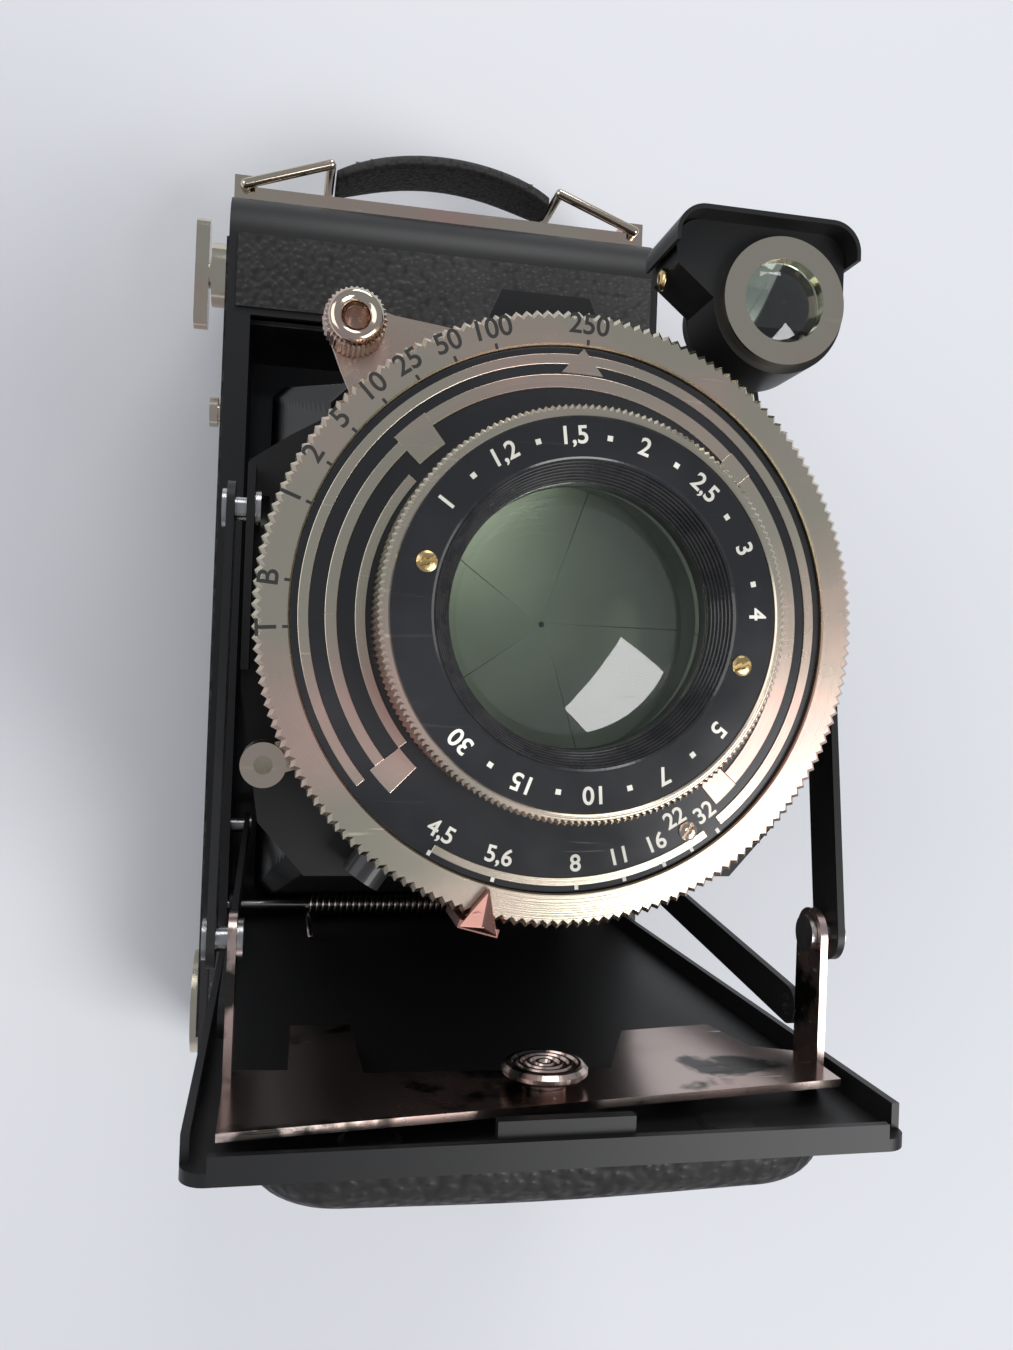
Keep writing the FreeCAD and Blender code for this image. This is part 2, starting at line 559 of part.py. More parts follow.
# ---- bed -----------------------------------------------------------------------
def bed_plate():
    """Pan with low side rims, a front lip, and ears round the hinge pin."""
    width = (-BED_HALF_WIDTH, BED_HALF_WIDTH)
    sheet = box(width, (BED_OUTER_Y, BED_INNER_Y), (BED_TAIL_Z, BED_FRONT_Z))
    corners = [e for e in sheet.Edges if abs(e.CenterOfMass.z - BED_FRONT_Z) < 0.01
               and abs(abs(e.CenterOfMass.x) - BED_HALF_WIDTH) < 0.01]
    pan = sheet.makeFillet(2.4, corners)
    rim_x = (BED_HALF_WIDTH - SHEET, BED_HALF_WIDTH)
    rim = box(rim_x, (BED_OUTER_Y, BED_INNER_Y + BED_RIM), (HINGE_Z + 3, BED_FRONT_Z - 2.4))
    ear = link((BED_INNER_Y, HINGE_Z), (HINGE_Y, HINGE_Z), 2.4, rim_x)
    below = box(rim_x, (BED_OUTER_Y - 9, BED_OUTER_Y), (HINGE_Z - 9, HINGE_Z + 9))
    ear = ear.cut(below)
    lip = box((-BED_HALF_WIDTH + 2.4, BED_HALF_WIDTH - 2.4),
              (BED_OUTER_Y, BED_INNER_Y + 1.4), (BED_FRONT_Z - SHEET, BED_FRONT_Z))
    catch = box((-6.5, 6.5), (BED_INNER_Y - 0.2, BED_INNER_Y + 3.0),
                (BED_FRONT_Z - 2.0, BED_FRONT_Z - SHEET))
    pan = pan.multiFuse(both_sides(rim) + both_sides(ear) + [lip, catch])
    return pan.cut(rod_x(BED_PIN_RADIUS + RUN, (-40, 40), HINGE_Y, HINGE_Z)).removeSplitter()


def bed_leather():
    """Skin under the bed, with its raised cushion."""
    skin_y = BED_OUTER_Y - SKIN
    skin = box((-BED_HALF_WIDTH + 1.6, BED_HALF_WIDTH - 1.6), (skin_y, BED_OUTER_Y),
               (BODY_DEPTH + 4.0, BED_FRONT_Z - 1.2))
    raised = box((-LEATHER_HALF_WIDTH, LEATHER_HALF_WIDTH), (skin_y - LEATHER_RISE, BED_OUTER_Y - 0.1),
                 LEATHER_Z)
    rim = [e for e in raised.Edges if abs(e.CenterOfMass.y - (skin_y - LEATHER_RISE)) < 0.01]
    return skin.fuse(raised.makeFillet(LEATHER_EDGE, rim)).removeSplitter()


def bed_spring():
    """Opening spring, as a plain tube of its coil's size with the leg along the bed."""
    coil = rod_x(2.0, (-21.0, 20.0), HINGE_Y, HINGE_Z)
    coil = coil.cut(rod_x(BED_PIN_RADIUS + RUN, (-30, 30), HINGE_Y, HINGE_Z))
    leg_y = BED_INNER_Y + 0.5
    leg = Part.makeCylinder(0.45, 20.0, v(-20.5, leg_y, HINGE_Z), Z_AXIS)
    leg = leg.cut(rod_x(1.0, (-30, 30), HINGE_Y, HINGE_Z))
    return coil.fuse(leg).removeSplitter()


def bed_bracket():
    """Cross plate with two tongues, and an ear at each side for the lens arms."""
    half = EAR_X[1]
    outline = [(-half, BRACKET_Z[0]), (-25.0, 119.5), (-24.6, 105.0), (-17.9, 105.0),
               (-17.5, 121.0), (8.0, 122.0), (13.0, 110.0), (24.0, 108.5),
               (26.0, 116.5), (half, BRACKET_Z[0]), (half, 127.5), (-half, BRACKET_Z[1])]
    plate = prism([v(x, BRACKET_Y[0], z) for x, z in outline], v(0, SHEET, 0))
    plate = plate.cut(rod_y(2.3, 0, (BRACKET_Y[0] - 1, BRACKET_Y[1] + 1), BUTTON_CENTRE_Z))
    foot = link((BED_INNER_Y + ARM_HALF_WIDTH, ARM_PIVOT_Z), (ARM_PIVOT_Y, ARM_PIVOT_Z),
                ARM_HALF_WIDTH, EAR_X)
    feet = []
    for x, z in ((-21.2, 107.5), (19.0, 111.5)):
        feet.append(rod_y(2.2, x, (BED_INNER_Y, BRACKET_Y[0] + 0.2), z))
    bracket = plate.multiFuse(both_sides(foot) + feet)
    return bracket.cut(rod_x(RIVET_RADIUS + RUN, (-40, 40), ARM_PIVOT_Y, ARM_PIVOT_Z)).removeSplitter()


def press_button():
    """Button on the cross plate that frees the bed."""
    cap = rod_y(4.35, 0, (BRACKET_Y[1] + 1.0, BRACKET_Y[1] + 2.2), BUTTON_CENTRE_Z)
    stem = rod_y(2.2, 0, (BED_INNER_Y + 1.0, BRACKET_Y[1] + 1.4), BUTTON_CENTRE_Z)
    return cap.fuse(stem).removeSplitter()


# ---- linkage -------------------------------------------------------------------
def lens_arms():
    """Two bars from the bed's bracket up to the standard."""
    bar = link((ARM_PIVOT_Y, ARM_PIVOT_Z), (ARM_TOP_Y, ARM_TOP_Z), ARM_HALF_WIDTH, ARM_X)
    for y, z in ((ARM_PIVOT_Y, ARM_PIVOT_Z), (ARM_TOP_Y, ARM_TOP_Z)):
        bar = bar.cut(rod_x(RIVET_RADIUS, (ARM_X[0] - 1, ARM_X[1] + 1), y, z))
    return group(both_sides(bar))


def rivet(y, z, inner_x, bar_x, head_radius=2.0):
    """A rivet through an inner ear and an outer bar, with heads, at the right side."""
    shank = rod_x(RIVET_RADIUS, (inner_x - 0.6, bar_x + 0.5), y, z)
    inner = rod_x(head_radius, (inner_x - 0.6, inner_x - RUN), y, z)
    outer = rod_x(head_radius, (bar_x, bar_x + 0.5), y, z)
    return shank.multiFuse([inner, outer]).removeSplitter()


def arm_rivets():
    rivets = []
    for y, z in ((ARM_PIVOT_Y, ARM_PIVOT_Z), (ARM_TOP_Y, ARM_TOP_Z)):
        rivets += both_sides(rivet(y, z, EAR_X[0], ARM_X[1]))
    return group(rivets)


def side_struts():
    """Two long bars from the body's sides towards the feet of the arms."""
    root, tip = (STRUT_ROOT_Y, STRUT_ROOT_Z), (STRUT_TIP_Y, STRUT_TIP_Z)
    bar = link(root, tip, STRUT_HALF_WIDTH, STRUT_X)
    for y, z in (root, tip):
        bar = bar.cut(rod_x(RIVET_RADIUS, (STRUT_X[0] - 1, STRUT_X[1] + 1), y, z))
    return group(both_sides(bar))


def strut_rivets():
    rivets = []
    root = rod_x(RIVET_RADIUS, (STRUT_X[0] - 0.3, FRAME_HALF_WIDTH + 0.5),
                 STRUT_ROOT_Y, STRUT_ROOT_Z)
    head = rod_x(1.8, (STRUT_X[0] - 0.3, STRUT_X[0]), STRUT_ROOT_Y, STRUT_ROOT_Z)
    rivets += both_sides(root.fuse(head).removeSplitter())
    rivets += both_sides(rod_x(RIVET_RADIUS, STRUT_X, STRUT_TIP_Y, STRUT_TIP_Z))
    return group(rivets)


# ---- standard and shutter --------------------------------------------------------
def standard_plate():
    """Plate behind the shutter, with a turned-up flange each side for the arms."""
    z = (PLATE_Z, PLATE_FRONT)
    outline = [(-29.0, -22.0), (-24.0, PLATE_FOOT_Y), (24.0, PLATE_FOOT_Y), (29.0, -22.0),
               (EAR_X[1], -8.0), (EAR_X[1], 16.0), (27.0, 18.5), (25.0, 31.0), (16.0, 31.0),
               (8.0, 29.5), (5.0, 36.8), (-5.0, 36.8), (-8.0, 29.5), (-22.0, 22.0),
               (-27.0, 19.0), (-EAR_X[1], 16.0), (-EAR_X[1], -8.0)]
    plate = prism([v(x, y, z[0]) for x, y in outline], v(0, 0, PLATE_THICKNESS))
    plate = plate.cut(rod_z(REAR_CELL_RADIUS + RUN, 0, 0, (z[0] - 1, z[1] + 1)))
    flange = box(EAR_X, (-6.0, 15.0), (PLATE_Z, ARM_TOP_Z + 3.0))
    plate = plate.multiFuse(both_sides(flange))
    plate = plate.cut(rod_x(RIVET_RADIUS + RUN, (-40, 40), ARM_TOP_Y, ARM_TOP_Z))
    slot = [rod_x(2.1, (29.0, EAR_X[0]), ARM_TOP_Y, ARM_TOP_Z),
            rod_x(2.1, (-EAR_X[0], -29.0), ARM_TOP_Y, ARM_TOP_Z)]
    return plate.cut(slot[0]).cut(slot[1]).removeSplitter()


def shutter_case():
    """Round case with a floor, an outer wall, and the barrel for the front cell."""
    case = spin([(REAR_CELL_RADIUS + RUN, PLATE_FRONT), (CASE_RADIUS, PLATE_FRONT),
                 (CASE_RADIUS, CASE_TOP_Z), (CASE_RADIUS - 3.2, CASE_TOP_Z),
                 (CASE_RADIUS - 3.2, PLATE_FRONT + 1.0), (BARREL_RADIUS, PLATE_FRONT + 1.0),
                 (BARREL_RADIUS, FACE_Z + 0.6), (BARREL_RADIUS - 1.2, FACE_Z + 0.6),
                 (BARREL_RADIUS - 1.2, PLATE_FRONT + 1.0), (REAR_CELL_RADIUS + RUN, PLATE_FRONT + 1.0)])
    pivot_x, pivot_y = polar(21.5, RELEASE_ANGLE + 6)
    post = rod_z(1.0, pivot_x, pivot_y, (PLATE_FRONT + 0.5, CASE_TOP_Z))
    slot = prism([v(*polar(r, a), RELEASE_Z[0] - 0.2) for r, a in
                  ((22.0, RELEASE_ANGLE - 14), (30.0, RELEASE_ANGLE - 14),
                   (30.0, RELEASE_ANGLE + 12), (22.0, RELEASE_ANGLE + 12))],
                 v(0, 0, SHEET + 0.4))
    bore_x, bore_y = polar(CASE_RADIUS - 1.6, CABLE_ANGLE)
    direction = v(*polar(1, CABLE_ANGLE), 0)
    seat = Part.makeCylinder(CABLE_RADIUS, 10, v(*polar(CASE_RADIUS - 3, CABLE_ANGLE), CABLE_Z),
                             direction)
    return case.cut(slot).cut(seat).fuse(post).removeSplitter()


def cable_socket():
    """Threaded socket for a cable release, in the side of the case."""
    start = v(*polar(CASE_RADIUS - 3, CABLE_ANGLE), CABLE_Z)
    direction = v(*polar(1, CABLE_ANGLE), 0)
    socket = Part.makeCylinder(CABLE_RADIUS, 8.0, start, direction)
    return socket.cut(Part.makeCylinder(CABLE_BORE_RADIUS, 10.0, start - direction, direction))


def faceplate():
    """Black face with a skirt that stands on the case and carries the speed ring."""
    inner = BARREL_RADIUS + RUN
    return spin([(inner, FACE_Z - 1.4), (inner, FACE_Z), (FACE_RADIUS, FACE_Z),
                 (FACE_RADIUS, CASE_TOP_Z), (FACE_RADIUS - 1.0, CASE_TOP_Z),
                 (FACE_RADIUS - 1.0, FACE_Z - 1.4)])


def speed_ring():
    """Knurled ring that sets the shutter's speed."""
    return tube_z(SPEED_RING_RADIUS, FACE_RADIUS + RUN, SPEED_RING_Z)


def aperture_lever():
    """Collar under the speed ring with a tab that comes round in front as a pointer."""
    z = (122.2, 122.2 + SHEET)
    outer = SPEED_RING_RADIUS + 0.3
    collar = tube_z(FACE_RADIUS + 2.2, FACE_RADIUS + RUN, z)
    turn = math.radians(APERTURE_ANGLE)
    radial = v(math.cos(turn), math.sin(turn), 0)
    side = v(-math.sin(turn), math.cos(turn), 0)

    def block(inner, reach, half, low, high):
        corners = [radial * inner + side * half, radial * reach + side * half,
                   radial * reach - side * half, radial * inner - side * half]
        return prism([c + v(0, 0, low) for c in corners], v(0, 0, high - low))

    arm = block(FACE_RADIUS + 1, outer + SHEET, 2.0, z[0], z[1])
    tab = block(outer, outer + SHEET, 2.0, z[0], SPEED_RING_Z[1] + 1.0)
    points = [radial * (outer + SHEET) + side * 2.0, radial * (FACE_RADIUS + 0.4),
              radial * (outer + SHEET) - side * 2.0]
    pointer = prism([p + v(0, 0, SPEED_RING_Z[1] + 0.2) for p in points], v(0, 0, SHEET))
    return collar.multiFuse([arm, tab, pointer]).removeSplitter()


def cocking_lever():
    """Collar on the face plate's skirt with a wide arm to the cocking knob."""
    z = (CASE_TOP_Z + GAP, CASE_TOP_Z + GAP + SHEET)
    collar = tube_z(FACE_RADIUS + 2.0, FACE_RADIUS + RUN, z)
    outline = [v(*polar(r, a), z[0]) for r, a in
               ((27.4, COCKING_ANGLE - 26), (30.8, COCKING_ANGLE - 18), (34.6, COCKING_ANGLE - 7),
                (COCKING_REACH + 2.6, COCKING_ANGLE - 2), (COCKING_REACH + 2.6, COCKING_ANGLE + 3),
                (33.0, COCKING_ANGLE + 6), (27.4, COCKING_ANGLE + 10))]
    arm = prism(outline, v(0, 0, SHEET)).cut(rod_z(FACE_RADIUS + RUN, 0, 0, (0, 200)))
    return collar.fuse(arm).removeSplitter()


def hollow_knob(reach, angle, z, radius, bore):
    x, y = polar(reach, angle)
    return tube_z(radius, bore, z, x, y)


def cocking_knob():
    base = CASE_TOP_Z + GAP + SHEET
    return hollow_knob(COCKING_REACH, COCKING_ANGLE, (base, base + 4.4), 3.1, 1.1)


def release_lever():
    """Thin arm from its post inside the case, out through the slot, to the release knob."""
    pivot = polar(21.5, RELEASE_ANGLE + 6)
    end = polar(RELEASE_REACH, RELEASE_ANGLE)
    dx, dy = end[0] - pivot[0], end[1] - pivot[1]
    length = math.hypot(dx, dy)
    nx, ny = -dy / length * 1.6, dx / length * 1.6
    corners = [(pivot[0] + nx, pivot[1] + ny), (end[0] + nx, end[1] + ny),
               (end[0] - nx, end[1] - ny), (pivot[0] - nx, pivot[1] - ny)]
    bar = prism([v(x, y, RELEASE_Z[0]) for x, y in corners], v(0, 0, SHEET))
    bar = bar.multiFuse([rod_z(2.2, *pivot, RELEASE_Z), rod_z(2.2, *end, RELEASE_Z)])
    return bar.cut(rod_z(1.0 + RUN, *pivot, (RELEASE_Z[0] - 1, RELEASE_Z[1] + 1))).removeSplitter()


def release_knob():
    return hollow_knob(RELEASE_REACH, RELEASE_ANGLE, (RELEASE_Z[1], RELEASE_Z[1] + 4.8), 2.2, 0.9)


def leaves(count, outer, inner, z, twist):
    """Thin leaves laid round the lens axis, each with a slanted joint to the next."""
    solids = []
    step = 360.0 / count
    margin = 0.25
    for i in range(count):
        a0, a1 = i * step + margin, (i + 1) * step - margin
        points = [v(*polar(inner, a0 + twist), z[0]), v(*polar(inner, a1 + twist), z[0]),
                  v(*polar(outer, a1), z[0]), v(*polar(outer, (a0 + a1) / 2), z[0]),
                  v(*polar(outer, a0), z[0])]
        solids.append(prism(points, v(0, 0, z[1] - z[0])))
    return group(solids)


def shutter_blades():
    return leaves(5, BARREL_RADIUS - 1.3, 0.3, (118.0, 118.4), 24.0)


def iris_blades():
    return leaves(10, BARREL_RADIUS - 1.3, 9.5, (117.0, 117.4), 18.0)


def rear_cell():
    """Threaded tube through the plate, with its retaining flange behind."""
    low, high = REAR_CELL_Z
    inner = REAR_CELL_RADIUS - 1.4
    return spin([(inner, low), (REAR_CELL_RADIUS + 2.6, low), (REAR_CELL_RADIUS + 2.6, PLATE_Z),
                 (REAR_CELL_RADIUS, PLATE_Z), (REAR_CELL_RADIUS, high), (inner, high)])


def rear_glass():
    radius = REAR_CELL_RADIUS - 1.4
    disc = rod_z(radius, 0, 0, (REAR_CELL_Z[0] + 0.8, REAR_CELL_Z[1] - 1.2))
    return disc


def focus_ring():
    """Knurled ring of the front cell, with the threaded tail that turns in the barrel."""
    low, high = FOCUS_Z
    tail = BARREL_RADIUS - 1.2 - RUN
    return spin([(GLASS_RADIUS + 0.2, high - 3.4), (FOCUS_RADIUS - 1.1, high - 3.4),
                 (FOCUS_RADIUS - 1.1, high), (FOCUS_RADIUS, high), (FOCUS_RADIUS, low),
                 (tail, low), (tail, 119.4), (GLASS_RADIUS + 0.2, 119.4)])


def lens_face():
    """Black ring set in the front cell, with its stepped cone down to the glass."""
    high = FOCUS_Z[1]
    outer = FOCUS_RADIUS - 1.1
    return spin([(GLASS_RADIUS + 0.2, high - 3.4), (outer, high - 3.4), (outer, high - 0.3),
                 (14.0, high - 0.3), (13.6, high - 1.2), (13.2, high - 1.2), (12.9, high - 2.1),
                 (12.6, high - 2.1), (GLASS_RADIUS + 0.2, high - 3.0)])


def front_glass():
    """Convex front glass, flat behind."""
    low, edge, crown = 127.6, 131.4, 133.4
    rise = crown - edge
    radius = (GLASS_RADIUS ** 2 + rise ** 2) / (2 * rise)
    barrel = rod_z(GLASS_RADIUS + 0.2, 0, 0, (low, crown + 1))
    return barrel.common(Part.makeSphere(radius, v(0, 0, crown - radius)))


def lens_screws():
    """Two slotted screws in the lens face."""
    screws = []
    for angle in (165.0, -15.0):
        x, y = polar(14.9 + 1.0, angle)
        screws.append(rod_z(1.05, x, y, (FOCUS_Z[1] - 0.3, FOCUS_Z[1] - 0.1)))
    return group(screws)


# ---- finder --------------------------------------------------------------------
def finder_bracket():
    """Foot on the standard's plate with the pivot of the finder."""
    foot = rod_z(5.0, *FINDER_PIVOT, (PLATE_FRONT, PLATE_FRONT + 1.2))
    tongue = box((17.0, 24.0), (22.6, FINDER_PIVOT[1]), (PLATE_FRONT, PLATE_FRONT + 1.2))
    keep = box((0, 60), (0, 60), (0, 200)).cut(rod_z(CASE_RADIUS + GAP, 0, 0, (0, 200)))
    post = rod_z(2.6, *FINDER_PIVOT, (PLATE_FRONT, FINDER_Z[0] - GAP))
    pin = rod_z(1.4, *FINDER_PIVOT, (PLATE_FRONT, FINDER_Z[0] + 0.9))
    return foot.fuse(tongue).common(keep).multiFuse([post, pin]).removeSplitter()


def finder_outline(shrink):
    """Front view of the finder: a box over a round lens seat, as a face at z = 0."""
    left, right = FINDER_SIDES[0] + shrink, FINDER_SIDES[1] - shrink
    radius = FINDER_SEAT_RADIUS - shrink
    top = FINDER_TOP_Y - shrink
    points = [v(left, top, 0), v(left + 0.6, FINDER_Y + 3.2, 0), v(FINDER_X - radius, FINDER_Y, 0)]
    arc = Part.Arc(points[2], v(FINDER_X, FINDER_Y - radius, 0), v(FINDER_X + radius, FINDER_Y, 0))
    edges = [Part.makeLine(points[0], points[1]), Part.makeLine(points[1], points[2]),
             arc.toShape(), Part.makeLine(v(FINDER_X + radius, FINDER_Y, 0), v(right, top, 0)),
             Part.makeLine(v(right, top, 0), points[0])]
    return Part.Face(Part.Wire(edges))


def round_top(solid, top, radius):
    """Rounds the two edges along Z that end the face at y = top."""
    edges = [e for e in solid.Edges if e.tangentAt(e.FirstParameter).cross(Z_AXIS).Length < 0.01
             and abs(e.CenterOfMass.y - top) < 0.01]
    return solid.makeFillet(radius, edges)


def finder_prism(shrink, z):
    solid = finder_outline(shrink).extrude(v(0, 0, z[1] - z[0]))
    solid.translate(v(0, 0, z[0]))
    return round_top(solid, FINDER_TOP_Y - shrink, FINDER_CORNER - shrink)


def finder_body():
    outer = finder_prism(0, FINDER_Z)
    inner = finder_prism(FINDER_WALL, (FINDER_Z[0] + 1.2, FINDER_Z[1] - 1.2))
    front = rod_z(FINDER_GLASS_RADIUS + RUN, FINDER_X, FINDER_Y, (FINDER_Z[1] - 3, FINDER_Z[1] + 1))
    lid = box((FINDER_MIDDLE - 6.0, FINDER_MIDDLE + 6.0), (FINDER_TOP_Y - 2, FINDER_TOP_Y + 1),
              (FINDER_Z[0] + 1.6, FINDER_Z[1] - 1.6))
    pivot = rod_z(1.4 + RUN, *FINDER_PIVOT, (FINDER_Z[0] - 1, FINDER_Z[0] + 2))
    return outer.cut(inner).cut(front).cut(lid).cut(pivot)


def finder_ring():
    z = (FINDER_Z[1], FINDER_Z[1] + 1.4)
    return tube_z(FINDER_RING_RADIUS, FINDER_GLASS_RADIUS, z, FINDER_X, FINDER_Y)


def finder_lenses():
    """The round front lens and the oblong viewing lens on top."""
    crown, edge = FINDER_Z[1] + 1.2, FINDER_Z[1] + 0.2
    rise = crown - edge
    radius = (FINDER_GLASS_RADIUS ** 2 + rise ** 2) / (2 * rise)
    front = rod_z(FINDER_GLASS_RADIUS, FINDER_X, FINDER_Y, (FINDER_Z[1] - 1.2, crown + 1))
    front = front.common(Part.makeSphere(radius, v(FINDER_X, FINDER_Y, crown - radius)))
    top = box((FINDER_MIDDLE - 5.95, FINDER_MIDDLE + 5.95), (FINDER_TOP_Y - FINDER_WALL, FINDER_TOP_Y - 0.1),
              (FINDER_Z[0] + 1.65, FINDER_Z[1] - 1.65))
    return group([front, top])


def finder_mirror():
    """Slanted mirror that turns the view up to the top lens."""
    low, high = FINDER_Z[0] + 1.2, FINDER_Z[1] - 1.2
    y = FINDER_Y - 3.0
    points = [v(FINDER_X - 4.5, y, high), v(FINDER_X - 4.5, y + 7.0, low),
              v(FINDER_X - 4.5, y + 7.8, low), v(FINDER_X - 4.5, y + 0.9, high)]
    return prism(points, v(9.0, 0, 0))


def finder_hood():
    """Sheet hood over the top lens, open towards the front."""
    z = (FINDER_Z[0] + 0.4, FINDER_Z[1] + 2.6)
    low = FINDER_TOP_Y - 3.4
    outer_x = (FINDER_SIDES[0] - HOOD_SHEET, FINDER_SIDES[1] + HOOD_SHEET)
    inner_x = (FINDER_SIDES[0] - GAP, FINDER_SIDES[1] + GAP)
    outer = round_top(box(outer_x, (low, FINDER_TOP_Y + HOOD_SHEET), z),
                      FINDER_TOP_Y + HOOD_SHEET, FINDER_CORNER + HOOD_SHEET)
    inner = round_top(box(inner_x, (low - 1, FINDER_TOP_Y), (z[0] - 1, z[1] + 1)),
                      FINDER_TOP_Y, FINDER_CORNER + GAP)
    window = box((FINDER_MIDDLE - 6.4, FINDER_MIDDLE + 6.4), (FINDER_TOP_Y - 1, FINDER_TOP_Y + 2),
                 (FINDER_Z[0] + 1.4, FINDER_Z[1] - 1.4))
    return outer.cut(inner).cut(window)


PIECES = {
    "body_shell": body_shell, "body_leather": body_leather, "film_frame": film_frame,
    "supply_roller": lambda: film_roller(-1), "takeup_roller": lambda: film_roller(1),
    "bed_hinge_pin": bed_hinge_pin, "back_hinge_pin": back_hinge_pin,
    "trim_strip": trim_strip, "bellows": bellows,
    "supply_spool": lambda: placed_spool(-1), "takeup_spool": lambda: placed_spool(1),
    "spool_pins": spool_pins, "winding_key": winding_key, "spool_knob": spool_knob,
    "bed_release_button": bed_release_button, "tripod_bush": tripod_bush,
    "handle_brackets": handle_brackets, "handle_bail_left": lambda: handle_bail(-1),
    "handle_bail_right": lambda: handle_bail(1), "handle_strap": handle_strap,
    "back_door": back_door, "back_leather": back_leather, "red_window": red_window,
    "window_cover": window_cover, "pressure_plate": pressure_plate,
    "pressure_springs": pressure_springs, "back_latch": back_latch,
    "bed_plate": bed_plate, "bed_leather": bed_leather, "bed_spring": bed_spring,
    "bed_bracket": bed_bracket, "press_button": press_button,
    "lens_arms": lens_arms, "arm_rivets": arm_rivets,
    "side_struts": side_struts, "strut_rivets": strut_rivets,
    "standard_plate": standard_plate, "shutter_case": shutter_case,
    "cable_socket": cable_socket, "faceplate": faceplate, "speed_ring": speed_ring,
    "aperture_lever": aperture_lever, "cocking_lever": cocking_lever,
    "cocking_knob": cocking_knob, "release_lever": release_lever,
    "release_knob": release_knob, "shutter_blades": shutter_blades,
    "iris_blades": iris_blades, "rear_cell": rear_cell, "rear_glass": rear_glass,
    "focus_ring": focus_ring, "lens_face": lens_face, "front_glass": front_glass,
    "lens_screws": lens_screws, "finder_bracket": finder_bracket,
    "finder_body": finder_body, "finder_ring": finder_ring,
    "finder_lenses": finder_lenses, "finder_mirror": finder_mirror,
    "finder_hood": finder_hood,
}

for piece_name, make_piece in PIECES.items():
    save(piece_name, make_piece())
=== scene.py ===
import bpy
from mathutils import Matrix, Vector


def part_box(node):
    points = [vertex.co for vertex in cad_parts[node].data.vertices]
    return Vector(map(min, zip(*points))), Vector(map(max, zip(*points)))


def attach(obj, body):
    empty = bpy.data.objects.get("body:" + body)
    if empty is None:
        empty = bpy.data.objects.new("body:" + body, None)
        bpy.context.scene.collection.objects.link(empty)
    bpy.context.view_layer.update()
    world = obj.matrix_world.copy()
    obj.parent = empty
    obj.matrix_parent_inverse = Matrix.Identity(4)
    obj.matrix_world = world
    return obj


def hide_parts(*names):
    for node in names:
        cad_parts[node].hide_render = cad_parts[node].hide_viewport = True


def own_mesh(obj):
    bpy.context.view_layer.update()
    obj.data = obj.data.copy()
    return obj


bl_info = {
    "name": "Folding camera finish",
    "version": (1, 0, 0),
    "blender": (4, 5, 0),
    "location": "View3D > Sidebar > Folding camera",
    "description": "Finishes and fine pieces of a folding roll-film camera",
    "category": "Object",
}

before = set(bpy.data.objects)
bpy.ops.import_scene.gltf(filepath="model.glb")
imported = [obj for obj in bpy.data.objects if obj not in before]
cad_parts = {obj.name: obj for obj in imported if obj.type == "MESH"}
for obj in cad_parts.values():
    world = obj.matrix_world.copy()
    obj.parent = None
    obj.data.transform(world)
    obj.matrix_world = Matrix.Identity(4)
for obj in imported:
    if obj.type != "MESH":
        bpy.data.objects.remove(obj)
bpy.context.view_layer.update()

import math

import bmesh
import bpy
from mathutils import Matrix, Vector

MM = 0.001
INK_LIFT, INK_SPREAD = 0.02, 0.04


# ---- places from the frame -------------------------------------------------------
def low(node):
    """Lowest corner of a node's box at rest, in millimetres."""
    return [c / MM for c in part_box(node)[0]]


def high(node):
    """Highest corner of a node's box at rest, in millimetres."""
    return [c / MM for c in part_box(node)[1]]


RING_RADIUS = high("speed_ring")[0]
RING_TOP = high("speed_ring")[2]
FACE_RADIUS = high("faceplate")[0]
FACE_TOP = high("faceplate")[2]
FOCUS_RADIUS = high("focus_ring")[0]
FOCUS_TOP = high("focus_ring")[2]
GLASS_RADIUS = high("front_glass")[0]


# ---- user settings ---------------------------------------------------------------
class CameraSizes(bpy.types.PropertyGroup):
    ring_teeth: bpy.props.IntProperty(
        name="Speed ring teeth", description="Serrations round the speed ring", default=180, min=40)
    focus_teeth: bpy.props.IntProperty(
        name="Front ring teeth", description="Knurls round the front cell", default=190, min=40)
    pleats: bpy.props.IntProperty(
        name="Pleats", description="Folds along the bellows", default=17, min=4)
    spring_turns: bpy.props.IntProperty(
        name="Spring turns", description="Turns of the opening spring", default=38, min=5)
    stitch_gap: bpy.props.FloatProperty(
        name="Stitch spacing", description="Distance between stitches on the strap",
        default=0.0026, unit="LENGTH")


class CameraColours(bpy.types.PropertyGroup):
    nickel: bpy.props.FloatVectorProperty(
        name="Nickel", description="Satin nickel", subtype="COLOR", size=4,
        default=(0.60, 0.55, 0.43, 1.0))
    # pink colour laid in blotches on the nickel parts: painted reflection, pink patches of
    # reflected light painted into the metal's colour
    tarnish_and_painted_reflection: bpy.props.FloatVectorProperty(
        name="Tarnish", description="Pink bloom on old nickel", subtype="COLOR", size=4,
        default=(0.66, 0.44, 0.38, 1.0))
    enamel: bpy.props.FloatVectorProperty(
        name="Enamel", description="Black enamel", subtype="COLOR", size=4,
        default=(0.010, 0.010, 0.011, 1.0))
    leather: bpy.props.FloatVectorProperty(
        name="Leather", description="Grained black leather", subtype="COLOR", size=4,
        default=(0.018, 0.016, 0.015, 1.0))


# ---- finish numbers --------------------------------------------------------------
WORN_EDGE = 0.00045
TURNING_DEPTH = 0.000012
ENAMEL_DEPTH = 0.00001
DUST_LIFT = 2.2
WORN_HIDE_LIFT, WORN_HIDE_FLOOR = 1.8, 0.003
CREASE_SHADE = 0.4
BELLOWS_SHADE = 0.8


# ---- node helpers ----------------------------------------------------------------
def add(tree, kind, links=None, values=None, **settings):
    """A shader node with its settings, its socket values, and links from other sockets."""
    made = tree.nodes.new(kind)
    for key, value in settings.items():
        setattr(made, key, value)
    for key, value in (values or {}).items():
        made.inputs[key].default_value = value
    for key, socket in (links or {}).items():
        tree.links.new(socket, made.inputs[key])
    return made


